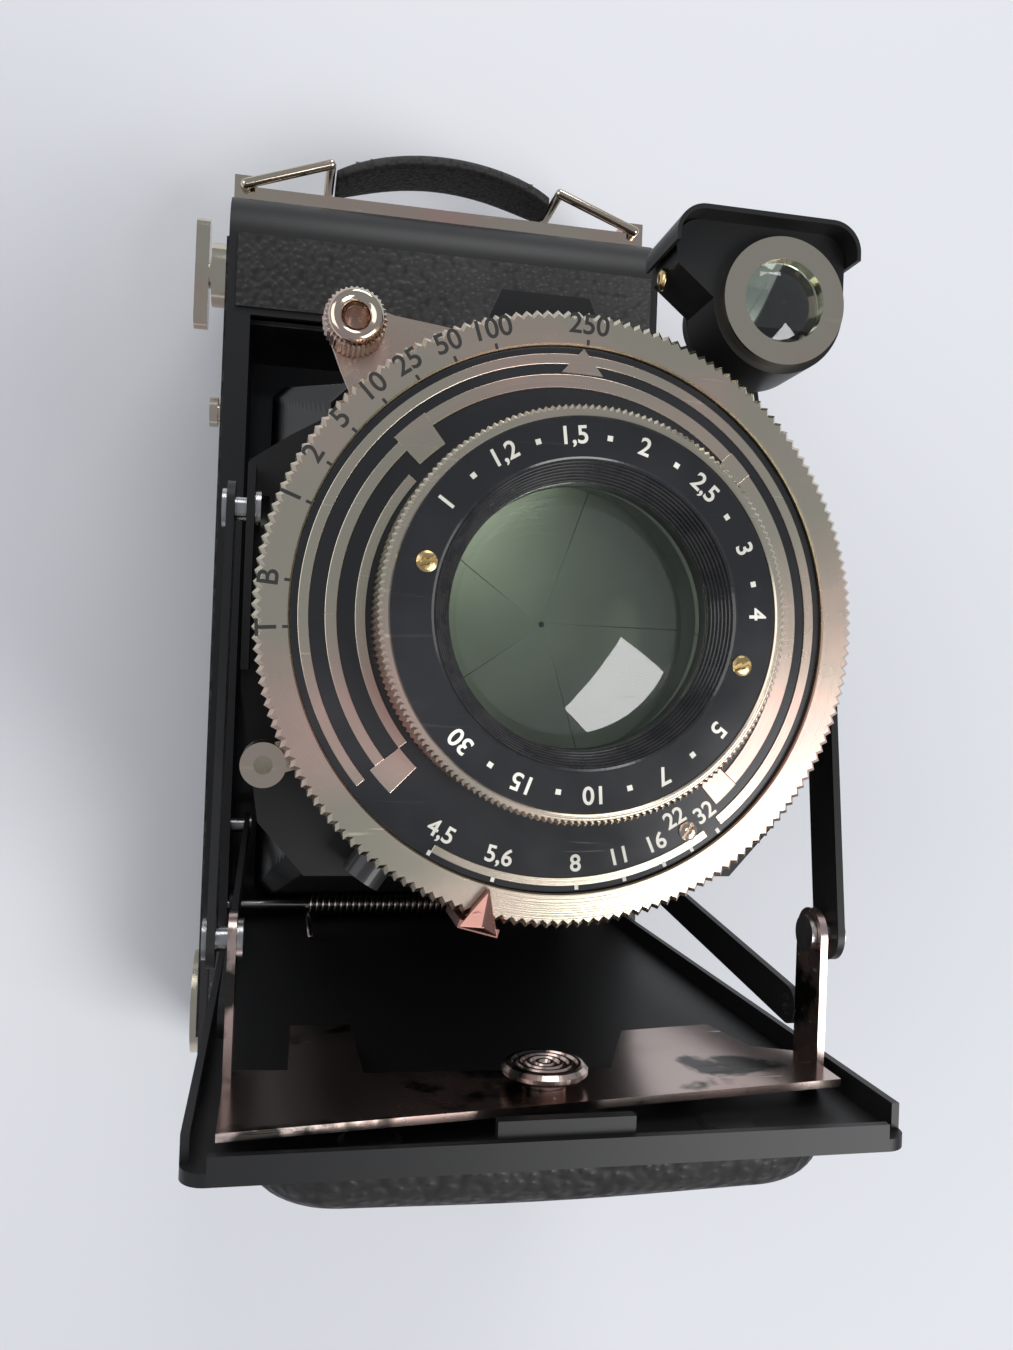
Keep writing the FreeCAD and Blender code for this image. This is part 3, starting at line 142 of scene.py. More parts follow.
def new_group(name, inputs, outputs):
    """An empty node group with float inputs (name, default) and float outputs."""
    tree = bpy.data.node_groups.new(name, "ShaderNodeTree")
    for label, value in inputs:
        made = tree.interface.new_socket(name=label, in_out="INPUT", socket_type="NodeSocketFloat")
        made.default_value = value
    for label in outputs:
        tree.interface.new_socket(name=label, in_out="OUTPUT", socket_type="NodeSocketFloat")
    return tree, tree.nodes.new("NodeGroupInput"), tree.nodes.new("NodeGroupOutput")


def ramp(tree, source, start, stop, floor=0.0, ceiling=1.0):
    """A value stretched from start..stop to floor..ceiling."""
    made = add(tree, "ShaderNodeMapRange", {"Value": source},
               {"From Min": start, "From Max": stop, "To Min": floor, "To Max": ceiling})
    return made.outputs["Result"]


def math_node(tree, operation, a, b):
    """The result of a sum on two sockets or numbers."""
    made = tree.nodes.new("ShaderNodeMath")
    made.operation = operation
    for socket, value in zip(made.inputs, (a, b)):
        if isinstance(value, (int, float)):
            socket.default_value = value
        else:
            tree.links.new(value, socket)
    return made.outputs[0]


def place(tree):
    """The place on the object, in metres."""
    return add(tree, "ShaderNodeTexCoord").outputs["Object"]


def build_wear_group():
    """Rubbed edges, blotches and hair scratches, as masks; on the nickels the blotches place
    painted reflection.
    """
    tree, given, out = new_group("surface_wear", [("Scale", 300.0), ("Edge", 0.5)],
                                 ["Edges", "Blotch", "Patches", "Scratch"])
    where = place(tree)
    noise = add(tree, "ShaderNodeTexNoise", {"Vector": where, "Scale": given.outputs["Scale"]},
                {"Detail": 6.0, "Roughness": 0.65})
    rounded = add(tree, "ShaderNodeBevel", values={"Radius": WORN_EDGE}, samples=4)
    plain = add(tree, "ShaderNodeNewGeometry")
    agree = add(tree, "ShaderNodeVectorMath",
                {0: rounded.outputs["Normal"], 1: plain.outputs["Normal"]},
                operation="DOT_PRODUCT")
    edge = ramp(tree, agree.outputs["Value"], 0.985, 0.86)
    broken = math_node(tree, "MULTIPLY", edge, ramp(tree, noise.outputs[0], 0.40, 0.60))
    tree.links.new(math_node(tree, "MULTIPLY", broken, given.outputs["Edge"]),
                   out.inputs["Edges"])
    wide = add(tree, "ShaderNodeTexNoise", {"Vector": where}, {"Scale": 45.0, "Detail": 4.0})
    tree.links.new(ramp(tree, wide.outputs[0], 0.46, 0.72), out.inputs["Blotch"])
    worn = add(tree, "ShaderNodeTexNoise", {"Vector": where}, {"Scale": 95.0, "Detail": 7.0})
    tree.links.new(ramp(tree, worn.outputs[0], 0.53, 0.58), out.inputs["Patches"])
    stretch = add(tree, "ShaderNodeMapping", {"Vector": where}, {"Scale": (90.0, 1400.0, 900.0)})
    hair = add(tree, "ShaderNodeTexNoise", {"Vector": stretch.outputs[0]},
               {"Scale": 1.0, "Detail": 2.0})
    tree.links.new(ramp(tree, hair.outputs[0], 0.68, 0.74), out.inputs["Scratch"])


def build_grain_group():
    """Pebbled leather: cells with creases between them."""
    tree, given, out = new_group("pebble_grain", [("Scale", 1100.0)], ["Height", "Crease"])
    cells = add(tree, "ShaderNodeTexVoronoi",
                {"Vector": place(tree), "Scale": given.outputs["Scale"]}, feature="SMOOTH_F1")
    tree.links.new(ramp(tree, cells.outputs["Distance"], 0.15, 0.75, 1.0, 0.0),
                   out.inputs["Height"])
    tree.links.new(ramp(tree, cells.outputs["Distance"], 0.45, 0.75), out.inputs["Crease"])


def build_turned_group():
    """Fine rings left by turning, round the lens axis."""
    tree, given, out = new_group("turned_lines", [("Scale", 9000.0)], ["Lines"])
    split = add(tree, "ShaderNodeSeparateXYZ", {"Vector": place(tree)})
    square = [math_node(tree, "MULTIPLY", split.outputs[i], split.outputs[i]) for i in (0, 1)]
    radius = math_node(tree, "SQRT", math_node(tree, "ADD", *square), 0.0)
    noise = add(tree, "ShaderNodeTexNoise",
                {"W": math_node(tree, "MULTIPLY", radius, given.outputs["Scale"])},
                {"Scale": 1.0, "Detail": 3.0}, noise_dimensions="1D")
    tree.links.new(noise.outputs[0], out.inputs["Lines"])


def new_material(name, **constants):
    """A material with one Principled shader; constants go on its own sockets."""
    material = bpy.data.materials.new(name)
    material.use_nodes = True
    shader = material.node_tree.nodes["Principled BSDF"]
    for key, value in constants.items():
        shader.inputs[key.replace("_", " ")].default_value = value
    return material, material.node_tree, shader


def use_group(tree, name, **values):
    """Sockets that a shared group puts out, with its own values set."""
    made = add(tree, "ShaderNodeGroup", node_tree=bpy.data.node_groups[name])
    for key, value in values.items():
        made.inputs[key].default_value = value
    return made.outputs


def mix_colour(tree, mask, a, b):
    """Colour a where the mask is 0 and b where it is 1."""
    made = tree.nodes.new("ShaderNodeMix")
    made.data_type = "RGBA"
    tree.links.new(mask, made.inputs["Factor"])
    for socket, value in ((made.inputs[6], a), (made.inputs[7], b)):
        if isinstance(value, (tuple, list)):
            socket.default_value = value
        else:
            tree.links.new(value, socket)
    return made.outputs[2]


def bump(tree, shader, height, depth):
    """Feeds a height, of this depth in metres, to the shader's normal."""
    made = add(tree, "ShaderNodeBump", {"Height": height},
               {"Strength": 1.0, "Distance": depth})
    tree.links.new(made.outputs[0], shader.inputs["Normal"])


def metal(name, base, tarnish_and_painted_reflection, rough=(0.22, 0.42), lines=True, bare=None):
    """Plated or turned metal with tarnish blotches, hair scratches and turning lines; on the
    nickels the blotch colour is pink painted reflection.
    """
    material, tree, shader = new_material(name, Metallic=1.0)
    wear = use_group(tree, "surface_wear", Scale=500.0, Edge=0.8)
    # blotches of the second colour: real tarnish on the steels, brass and copper, pink painted
    # reflection on the nickels
    colour = mix_colour(tree, wear["Blotch"], base, tarnish_and_painted_reflection)
    if bare:
        colour = mix_colour(tree, wear["Patches"], colour, bare)
    tree.links.new(colour, shader.inputs["Base Color"])
    rough_mask = math_node(tree, "ADD", wear["Blotch"], wear["Scratch"])
    tree.links.new(ramp(tree, rough_mask, 0.0, 1.6, *rough), shader.inputs["Roughness"])
    height = use_group(tree, "turned_lines")["Lines"] if lines else wear["Scratch"]
    bump(tree, shader, height, TURNING_DEPTH)
    return material


def enamel(name, base, gloss=0.2, show=(0.30, 0.27, 0.23, 1.0), edge=0.7):
    """Black enamel, rubbed to the metal on its edges, with faint dust."""
    material, tree, shader = new_material(name, Coat_Weight=0.35, Coat_Roughness=0.12)
    wear = use_group(tree, "surface_wear", Scale=420.0, Edge=edge)
    dusty = tuple(c * DUST_LIFT for c in base[:3]) + (1.0,)
    colour = mix_colour(tree, wear["Blotch"], base, dusty)
    tree.links.new(mix_colour(tree, wear["Edges"], colour, show), shader.inputs["Base Color"])
    tree.links.new(wear["Edges"], shader.inputs["Metallic"])
    rubbed = math_node(tree, "ADD", wear["Blotch"], wear["Scratch"])
    tree.links.new(ramp(tree, rubbed, 0.0, 1.5, gloss, gloss + 0.25), shader.inputs["Roughness"])
    bump(tree, shader, wear["Blotch"], ENAMEL_DEPTH)
    return material


def grained(name, base, scale, depth, rough=0.45):
    """Leather or leathercloth with pebbled grain."""
    material, tree, shader = new_material(name, Specular_IOR_Level=0.45)
    grain = use_group(tree, "pebble_grain", Scale=scale)
    wear = use_group(tree, "surface_wear", Scale=250.0, Edge=0.8)
    worn = tuple(c * WORN_HIDE_LIFT + WORN_HIDE_FLOOR for c in base[:3]) + (1.0,)
    dark = tuple(c * CREASE_SHADE for c in base[:3]) + (1.0,)
    colour = mix_colour(tree, wear["Blotch"], base, worn)
    tree.links.new(mix_colour(tree, grain["Crease"], colour, dark), shader.inputs["Base Color"])
    tree.links.new(ramp(tree, grain["Height"], 0.0, 1.0, rough + 0.25, rough),
                   shader.inputs["Roughness"])
    bump(tree, shader, grain["Height"], depth)
    return material


def clear(name, base, rough=0.02):
    """Lens glass with a trace of dust in its gloss."""
    material, tree, shader = new_material(name, Transmission_Weight=1.0, IOR=1.52,
                                          Base_Color=base, Coat_Weight=0.4)
    wear = use_group(tree, "surface_wear", Scale=900.0, Edge=0.0)
    tree.links.new(ramp(tree, wear["Scratch"], 0.0, 1.0, rough, rough + 0.1),
                   shader.inputs["Roughness"])
    return material


def build_materials(colours):
    """Builds the shared groups and every finish."""
    build_wear_group()
    build_grain_group()
    build_turned_group()
    # the pink colour given to the three nickels is painted reflection, laid in blotches
    nickel, tarnish_and_painted_reflection = tuple(colours.nickel), tuple(colours.tarnish_and_painted_reflection)
    black, hide = tuple(colours.enamel), tuple(colours.leather)
    dark = (0.05, 0.045, 0.04, 1.0)
    metal("satin_nickel", nickel, tarnish_and_painted_reflection)
    metal("bright_nickel", nickel, tarnish_and_painted_reflection, rough=(0.10, 0.25), lines=False)
    metal("worn_nickel", (0.62, 0.50, 0.45, 1.0), tarnish_and_painted_reflection, rough=(0.2, 0.4), lines=False,
          bare=dark)
    metal("copper_pointer", (0.62, 0.33, 0.27, 1.0), (0.40, 0.2, 0.17, 1.0), (0.15, 0.35), False)
    metal("spring_steel", (0.42, 0.36, 0.33, 1.0), (0.2, 0.15, 0.13, 1.0), lines=False)
    metal("plain_steel", (0.45, 0.45, 0.45, 1.0), (0.3, 0.29, 0.28, 1.0))
    metal("yellow_brass", (0.66, 0.50, 0.24, 1.0), (0.40, 0.28, 0.14, 1.0))
    metal("blade_steel", (0.30, 0.32, 0.27, 1.0), (0.22, 0.23, 0.19, 1.0), (0.35, 0.5))
    metal("silvered", (0.8, 0.8, 0.8, 1.0), (0.6, 0.6, 0.6, 1.0), (0.05, 0.15), False)
    enamel("black_enamel", black)
    enamel("matt_black", black, gloss=0.5, edge=0.3)
    enamel("face_enamel", black, gloss=0.16, edge=0.1)
    enamel("number_ink", (0.012, 0.011, 0.01, 1.0), gloss=0.5, edge=0.0)
    enamel("number_paint", (0.62, 0.60, 0.53, 1.0), gloss=0.4, edge=0.0)
    grained("pebbled_leather", hide, 950.0, 0.00022)
    grained("strap_leather", hide, 1500.0, 0.00009, rough=0.5)
    cloth = tuple(c * BELLOWS_SHADE for c in hide[:3]) + (1.0,)
    grained("bellows_cloth", cloth, 2600.0, 0.00004, 0.55)
    clear("lens_glass", (0.80, 0.86, 0.76, 1.0))
    clear("ruby_glass", (0.45, 0.01, 0.01, 1.0), rough=0.15)


NODE_FINISH = {
    "satin_nickel": ("cocking_lever", "release_lever", "spool_knob"),
    "bright_nickel": ("release_knob", "finder_ring", "trim_strip", "handle_brackets",
                      "handle_bail_left", "handle_bail_right", "winding_key",
                      "bed_release_button", "back_latch"),
    "worn_nickel": ("bed_bracket",),
    "copper_pointer": ("aperture_lever",),
    "plain_steel": ("bed_hinge_pin", "back_hinge_pin", "pressure_springs", "supply_roller",
                    "takeup_roller", "tripod_bush", "arm_rivets", "strut_rivets"),
    "yellow_brass": ("rear_cell", "spool_pins"),
    "blade_steel": ("shutter_blades", "iris_blades"),
    "silvered": ("finder_mirror",),
    "black_enamel": ("body_shell", "back_door", "bed_plate", "lens_arms", "side_struts",
                     "finder_body", "finder_hood", "supply_spool", "takeup_spool",
                     "standard_plate", "shutter_case"),
    "matt_black": ("film_frame", "finder_bracket", "cable_socket", "window_cover",
                   "pressure_plate"),
    "face_enamel": ("faceplate",),
    "pebbled_leather": ("body_leather", "back_leather"),
    "lens_glass": ("front_glass", "rear_glass", "finder_lenses"),
    "ruby_glass": ("red_window",),
}


# ---- mesh helpers ----------------------------------------------------------------
def piece(name, points, faces, body, slot, material, nodes=(), smooth=False, bevel=0.0):
    """A mesh piece from points in millimetres, riding on a body."""
    mesh = bpy.data.meshes.new(name)
    mesh.from_pydata([Vector(p) * MM for p in points], [], faces)
    mesh.validate()
    work = bmesh.new()
    work.from_mesh(mesh)
    bmesh.ops.recalc_face_normals(work, faces=work.faces)
    work.to_mesh(mesh)
    work.free()
    made = bpy.data.objects.new(name, mesh)
    bpy.context.collection.objects.link(made)
    mesh.materials.append(bpy.data.materials[material])
    for polygon in mesh.polygons:
        polygon.use_smooth = smooth
    if bevel:
        modifier = made.modifiers.new("edges", "BEVEL")
        modifier.width = bevel * MM
        modifier.segments = 2
        modifier.limit_method = "ANGLE"
    if nodes:
        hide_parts(*nodes)
    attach(made, body)
    return made


def lathe(profile, steps=128, centre=(0.0, 0.0), radius_at=None):
    """Points and faces of a closed profile of (radius, z) turned about a vertical axis."""
    points, faces, count = [], [], len(profile)
    for i in range(steps):
        turn = 2 * math.pi * i / steps
        for r, z in profile:
            r = radius_at(i, r) if radius_at else r
            points.append((centre[0] + r * math.cos(turn), centre[1] + r * math.sin(turn), z))
    for i in range(steps):
        for j in range(count):
            a, b = i * count + j, i * count + (j + 1) % count
            c, d = (i + 1) % steps * count + (j + 1) % count, (i + 1) % steps * count + j
            faces.append((a, b, c, d))
    return points, faces


def toothed(outer, inner, bottom, top, teeth, depth, chamfer=0.5, centre=(0.0, 0.0)):
    """A ring with pointed serrations round its rim and a chamfered front edge."""
    profile = [(inner, bottom), (outer - chamfer, bottom), (outer, bottom + chamfer),
               (outer, top - chamfer), (outer - chamfer, top), (inner + 0.15, top),
               (inner, top - 0.15)]

    def radius_at(step, r):
        return r - depth if step % 2 and r > outer - chamfer * 1.01 else r

    return lathe(profile, teeth * 2, centre, radius_at)


def arc_strip(spans, bottom, top, step=1.5):
    """Flat raised bars: each span is (inner, outer, start angle, end angle)."""
    points, faces = [], []
    for inner, outer, start, stop in spans:
        count = max(1, int(abs(stop - start) / step))
        base = len(points)
        for i in range(count + 1):
            turn = math.radians(start + (stop - start) * i / count)
            for r, z in ((inner, bottom), (outer, bottom), (outer, top), (inner, top)):
                points.append((r * math.cos(turn), r * math.sin(turn), z))
        for i in range(count):
            for j in range(4):
                a, b = base + i * 4 + j, base + i * 4 + (j + 1) % 4
                faces.append((a, b, b + 4, a + 4))
        faces.append(tuple(base + j for j in range(4)))
        faces.append(tuple(base + count * 4 + j for j in range(4)))
    return points, faces


def lettering(name, marks, size, height, body, material, outward=True):
    """Numbers round the lens axis: marks are (text, radius, angle) on a face at height."""
    parts = []
    for text, radius, angle in marks:
        curve = bpy.data.curves.new(name, "FONT")
        curve.body = text
        curve.size = size * MM
        curve.align_x = "CENTER"
        curve.align_y = "CENTER"
        curve.extrude = INK_LIFT * MM
        curve.offset = INK_SPREAD * MM
        made = bpy.data.objects.new(name, curve)
        bpy.context.collection.objects.link(made)
        turn = math.radians(angle)
        facing = turn - math.pi / 2 if outward else turn + math.pi / 2
        made.matrix_world = (Matrix.Translation(Vector((radius * math.cos(turn),
                                                        radius * math.sin(turn), height)) * MM)
                             @ Matrix.Rotation(facing, 4, "Z"))
        parts.append(made)
    bpy.context.view_layer.update()
    joined = bmesh.new()
    for made in parts:
        mesh = bpy.data.meshes.new_from_object(made.evaluated_get(
            bpy.context.evaluated_depsgraph_get()))
        mesh.transform(made.matrix_world)
        joined.from_mesh(mesh)
        bpy.data.objects.remove(made)
    result = bpy.data.meshes.new(name)
    joined.to_mesh(result)
    joined.free()
    result.materials.clear()
    result.materials.append(bpy.data.materials[material])
    made = bpy.data.objects.new(name, result)
    bpy.context.collection.objects.link(made)
    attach(made, body)
    return made


SCREW_RADIUS = 0.95
SCREW_RISE, SCREW_DOME = 0.34, 0.2
SLOT_FLOOR, SLOT_SHARE = 0.05, 0.2


def slotted_screw(name, centre, height, radius, body, angle, material="yellow_brass", nodes=()):
    """A low-domed screw head with a sawn slot."""
    steps, rings = 48, 5
    points = [(centre[0], centre[1], height + SCREW_RISE)]
    for ring in range(1, rings + 1):
        r = radius * ring / rings
        z = height + SCREW_RISE - SCREW_DOME * (ring / rings) ** 3
        for i in range(steps):
            turn = 2 * math.pi * i / steps
            points.append((centre[0] + r * math.cos(turn), centre[1] + r * math.sin(turn), z))
    for i in range(steps):
        turn = 2 * math.pi * i / steps
        points.append((centre[0] + radius * math.cos(turn),
                       centre[1] + radius * math.sin(turn), height))
    across = math.radians(angle)
    normal = (-math.sin(across), math.cos(across))
    cut = []
    for x, y, z in points:
        off = abs((x - centre[0]) * normal[0] + (y - centre[1]) * normal[1])
        cut.append((x, y, height + SLOT_FLOOR if off < radius * SLOT_SHARE else z))
    faces = [(0, 1 + i, 1 + (i + 1) % steps) for i in range(steps)]
    for ring in range(rings):
        for i in range(steps):
            a, b = 1 + ring * steps + i, 1 + ring * steps + (i + 1) % steps
            faces.append((a, a + steps, b + steps, b))
    faces.append(tuple(1 + rings * steps + i for i in range(steps)))
    return piece(name, cut, faces, body, "brass", material, nodes)


# ---- pieces ----------------------------------------------------------------------
SPEEDS = (("250", 88.0), ("100", 107.5), ("50", 116.5), ("25", 125.2), ("10", 133.5), ("5", 142.0),
          ("2", 150.4), ("1", 159.1), ("B", 175.0), ("T", 184.2))
APERTURES = (("4,5", -119.2), ("5,6", -104.4), ("8", -85.9), ("11", -75.1), ("16", -65.6),
             ("22", -58.6), ("32", -51.4))
DISTANCES = (("1", 145), ("1,2", 121), ("1,5", 97), ("2", 73), ("2,5", 49), ("3", 25), ("4", 3),
             ("5", -38), ("7", -62), ("10", -86), ("15", -110), ("30", -134))
NO_DOT_AFTER = (3, -134)

SPEED_TOOTH, SPEED_NUMBER_RADIUS, SPEED_NUMBER_SIZE = 0.45, 28.7, 2.75
SPEED_TICK, SPEED_TICK_HALF = (26.75, 27.3), 0.3
APERTURE_TICK, APERTURE_TICK_HALF = (25.9, 26.4), 0.4
APERTURE_NUMBER_RADIUS, CROWDED_NUMBER_RADIUS = 23.9, 22.6
FACE_NUMBER_SIZE = 2.3
LINE_SINK, LINE_RISE = 0.05, 0.14
FACE_LINES = ((24.9, 25.9, -50, 220),
              (22.6, 23.9, 47, 128), (22.3, 23.4, 137, 219), (19.6, 20.6, 141, 219),
              (20.5, 24.0, 128, 137), (20.5, 24.0, 219, 226),
              (20.5, 24.0, 40, 47), (22.3, 23.9, -41, 40), (20.5, 24.0, -48, -41),
              (25.2, 26.0, -119, -54))
SPEED_POINTER_ANGLE, APERTURE_POINTER_ANGLE = 88.6, -105.0
FACE_SCREW = (13.2, -20.5)
FRONT_RING_HEIGHT, FRONT_WALL, FRONT_TUBE_RADIUS = 6.9, 1.1, 16.3
FRONT_FACE_DEPTH, FRONT_FACE_SINK = 3.4, 0.3
DISTANCE_RADIUS, DISTANCE_DOT, DOT_HALF = 16.3, (16.0, 16.5), 0.9


def finish_nodes():
    """Gives every CAD piece that stays visible its finish."""
    for material, nodes in NODE_FINISH.items():
        for node in nodes:
            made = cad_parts[node]
            made.data.materials.clear()
            made.data.materials.append(bpy.data.materials[material])


def make_speed_ring(sizes):
    """Serrated ring with its speed numbers and ticks."""
    inner, bottom = FACE_RADIUS + 0.05, low("speed_ring")[2]
    points, faces = toothed(RING_RADIUS, inner, bottom, RING_TOP, sizes.ring_teeth,
                            SPEED_TOOTH)
    piece("speed_ring_toothed", points, faces, "speed", "nickel", "satin_nickel", ("speed_ring",))
    marks = [(text, SPEED_NUMBER_RADIUS, angle) for text, angle in SPEEDS]
    lettering("speed_numbers", marks, SPEED_NUMBER_SIZE, RING_TOP, "speed", "number_ink")
    ticks = [(*SPEED_TICK, angle - SPEED_TICK_HALF, angle + SPEED_TICK_HALF)
             for _, angle in SPEEDS]
    piece("speed_ticks", *arc_strip(ticks, RING_TOP - INK_LIFT, RING_TOP + INK_LIFT), "speed",
          "nickel", "number_ink")


def make_face_trim():
    """Raised nickel lines, pointer and aperture scale on the black face."""
    level = (FACE_TOP - LINE_SINK, FACE_TOP + LINE_RISE)
    piece("face_lines", *arc_strip(FACE_LINES, *level), "standard", "nickel", "satin_nickel",
          bevel=0.05)
    tip, base, half_width = 26.5, 24.0, 2.1
    flat = [(base, -half_width), (base, half_width), (tip, 0.0)]
    turn = math.radians(SPEED_POINTER_ANGLE)
    points = []
    for z in (level[0], level[1] + 0.06):
        for along, aside in flat:
            points.append((along * math.cos(turn) - aside * math.sin(turn),
                           along * math.sin(turn) + aside * math.cos(turn), z))
    faces = [(0, 1, 2), (3, 4, 5), (0, 1, 4, 3), (1, 2, 5, 4), (2, 0, 3, 5)]
    piece("speed_pointer", points, faces, "standard", "nickel", "satin_nickel")
    marks = [(text, CROWDED_NUMBER_RADIUS if text == "22" else APERTURE_NUMBER_RADIUS, angle)
             for text, angle in APERTURES]
    lettering("aperture_numbers", marks, FACE_NUMBER_SIZE, FACE_TOP, "standard",
              "number_paint", False)
    ticks = [(*APERTURE_TICK, angle - APERTURE_TICK_HALF, angle + APERTURE_TICK_HALF)
             for _, angle in APERTURES]
    piece("aperture_ticks", *arc_strip(ticks, *level), "standard", "nickel", "number_paint")
    slotted_screw("face_screw", FACE_SCREW, FACE_TOP, SCREW_RADIUS, "standard", 60.0,
                  "bright_nickel")


def make_pointer():
    """Faceted wedge on the aperture pointer."""
    turn = math.radians(APERTURE_POINTER_ANGLE)
    base = high("aperture_lever")[2]
    corners = ((26.9, 0.0, base), (31.1, 2.0, base), (31.1, -2.0, base), (30.4, 0.0, base + 1.5))
    points = [(r * math.cos(turn) - aside * math.sin(turn),
               r * math.sin(turn) + aside * math.cos(turn), z) for r, aside, z in corners]
    faces = [(0, 1, 2), (0, 1, 3), (1, 2, 3), (2, 0, 3)]
    piece("aperture_wedge", points, faces, "aperture", "nickel", "copper_pointer", bevel=0.12)


def make_finder_screw():
    """Round-headed screw on the finder's side."""
    face = low("finder_body")[0]
    head = [(0.02, 0.55), (0.7, 0.5), (1.15, 0.2), (1.15, 0.0), (0.02, 0.0)]
    points, faces = lathe(head, 40)
    middle_y = high("finder_body")[1] - 5.2
    middle_z = (low("finder_body")[2] + high("finder_body")[2]) / 2
    points = [(face - z, middle_y + x, middle_z + y) for x, y, z in points]
    piece("finder_screw", points, faces, "finder", "nickel", "yellow_brass", smooth=True)


def make_front_cell(sizes):
    """Knurled ring, grooved black face, numbers and screws of the front cell."""
    bottom = low("focus_ring")[2]
    base = FOCUS_TOP - FRONT_RING_HEIGHT
    inner, seat = FOCUS_RADIUS - FRONT_WALL, FOCUS_TOP - FRONT_FACE_DEPTH
    level = FOCUS_TOP - FRONT_FACE_SINK
    points, faces = toothed(FOCUS_RADIUS, inner, base, FOCUS_TOP, sizes.focus_teeth, 0.25, 0.35)
    piece("front_ring_knurled", points, faces, "focus", "nickel", "satin_nickel", ("focus_ring",))
    tail = [(GLASS_RADIUS + 0.05, bottom), (FRONT_TUBE_RADIUS, bottom),
            (FRONT_TUBE_RADIUS, base + 0.1), (inner, base + 0.1), (inner, seat),
            (GLASS_RADIUS + 0.05, seat)]
    piece("front_cell_tube", *lathe(tail), "focus", "black_enamel", "matt_black")
    face = [(GLASS_RADIUS + 0.05, seat), (inner, seat), (inner, level), (14.4, level),
            (14.2, FOCUS_TOP - 0.2)]
    steps = 7
    for i in range(steps):
        r = 14.0 - (14.0 - GLASS_RADIUS) * i / steps
        z = FOCUS_TOP - 0.4 - 2.4 * i / steps
        face += [(r, z), (r - 0.05, z - 0.26), (r - 0.16, z - 0.26)]
    piece("front_face_grooved", *lathe(face, 160), "focus", "black_enamel", "face_enamel",
          ("lens_face",))
    marks = [(text, DISTANCE_RADIUS, angle) for text, angle in DISTANCES]
    lettering("distance_numbers", marks, FACE_NUMBER_SIZE, level, "focus", "number_paint")
    dots = [(*DISTANCE_DOT, angle - 12 - DOT_HALF, angle - 12 + DOT_HALF)
            for _, angle in DISTANCES if angle not in NO_DOT_AFTER]
    piece("distance_dots", *arc_strip(dots, level - INK_LIFT, level + INK_LIFT), "focus",
          "black_enamel", "number_paint")
    for side, angle in (("left", 165.0), ("right", -15.0)):
        turn = math.radians(angle)
        spot = (14.9 * math.cos(turn) * 1.04, 14.9 * math.sin(turn) * 1.04)
        nodes = ("lens_screws",) if side == "left" else ()
        slotted_screw("front_screw_" + side, spot, level, SCREW_RADIUS, "focus", angle + 35,
                      nodes=nodes)


CLOTH_THICKNESS, CLOSED_SHARE = 0.35, 0.012


def make_bellows(sizes):
    """Pleated bellows with folded corners."""
    (x0, y0, z0), (x1, y1, z1) = low("bellows"), high("bellows")
    front_x, front_y, deep = 23.0, 25.0, 1.5
    folded_corner, plain_corner = 5.5, 2.0
    points, faces, rows = [], [], sizes.pleats * 2
    for row in range(rows + 1):
        share = row / rows
        inset = deep if row % 2 else 0.0
        half_x = x1 + (front_x - x1) * share - inset
        half_y = y1 + (front_y - y1) * share - inset
        corner = folded_corner if row % 2 else plain_corner
        z = z0 + (z1 - z0) * share
        loop = [(half_x, half_y - corner), (half_x - corner, half_y),
                (corner - half_x, half_y), (-half_x, half_y - corner),
                (-half_x, corner - half_y), (corner - half_x, -half_y),
                (half_x - corner, -half_y), (half_x, corner - half_y)]
        points += [(x, y, z) for x, y in loop]
    for row in range(rows):
        for i in range(8):
            a, b = row * 8 + i, row * 8 + (i + 1) % 8
            faces.append((a, b, b + 8, a + 8))
    made = piece("pleated_bellows", points, faces, "body", "bellows_cloth", "bellows_cloth",
                 ("bellows",))
    thick = made.modifiers.new("cloth", "SOLIDIFY")
    thick.thickness = CLOTH_THICKNESS * MM
    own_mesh(made)


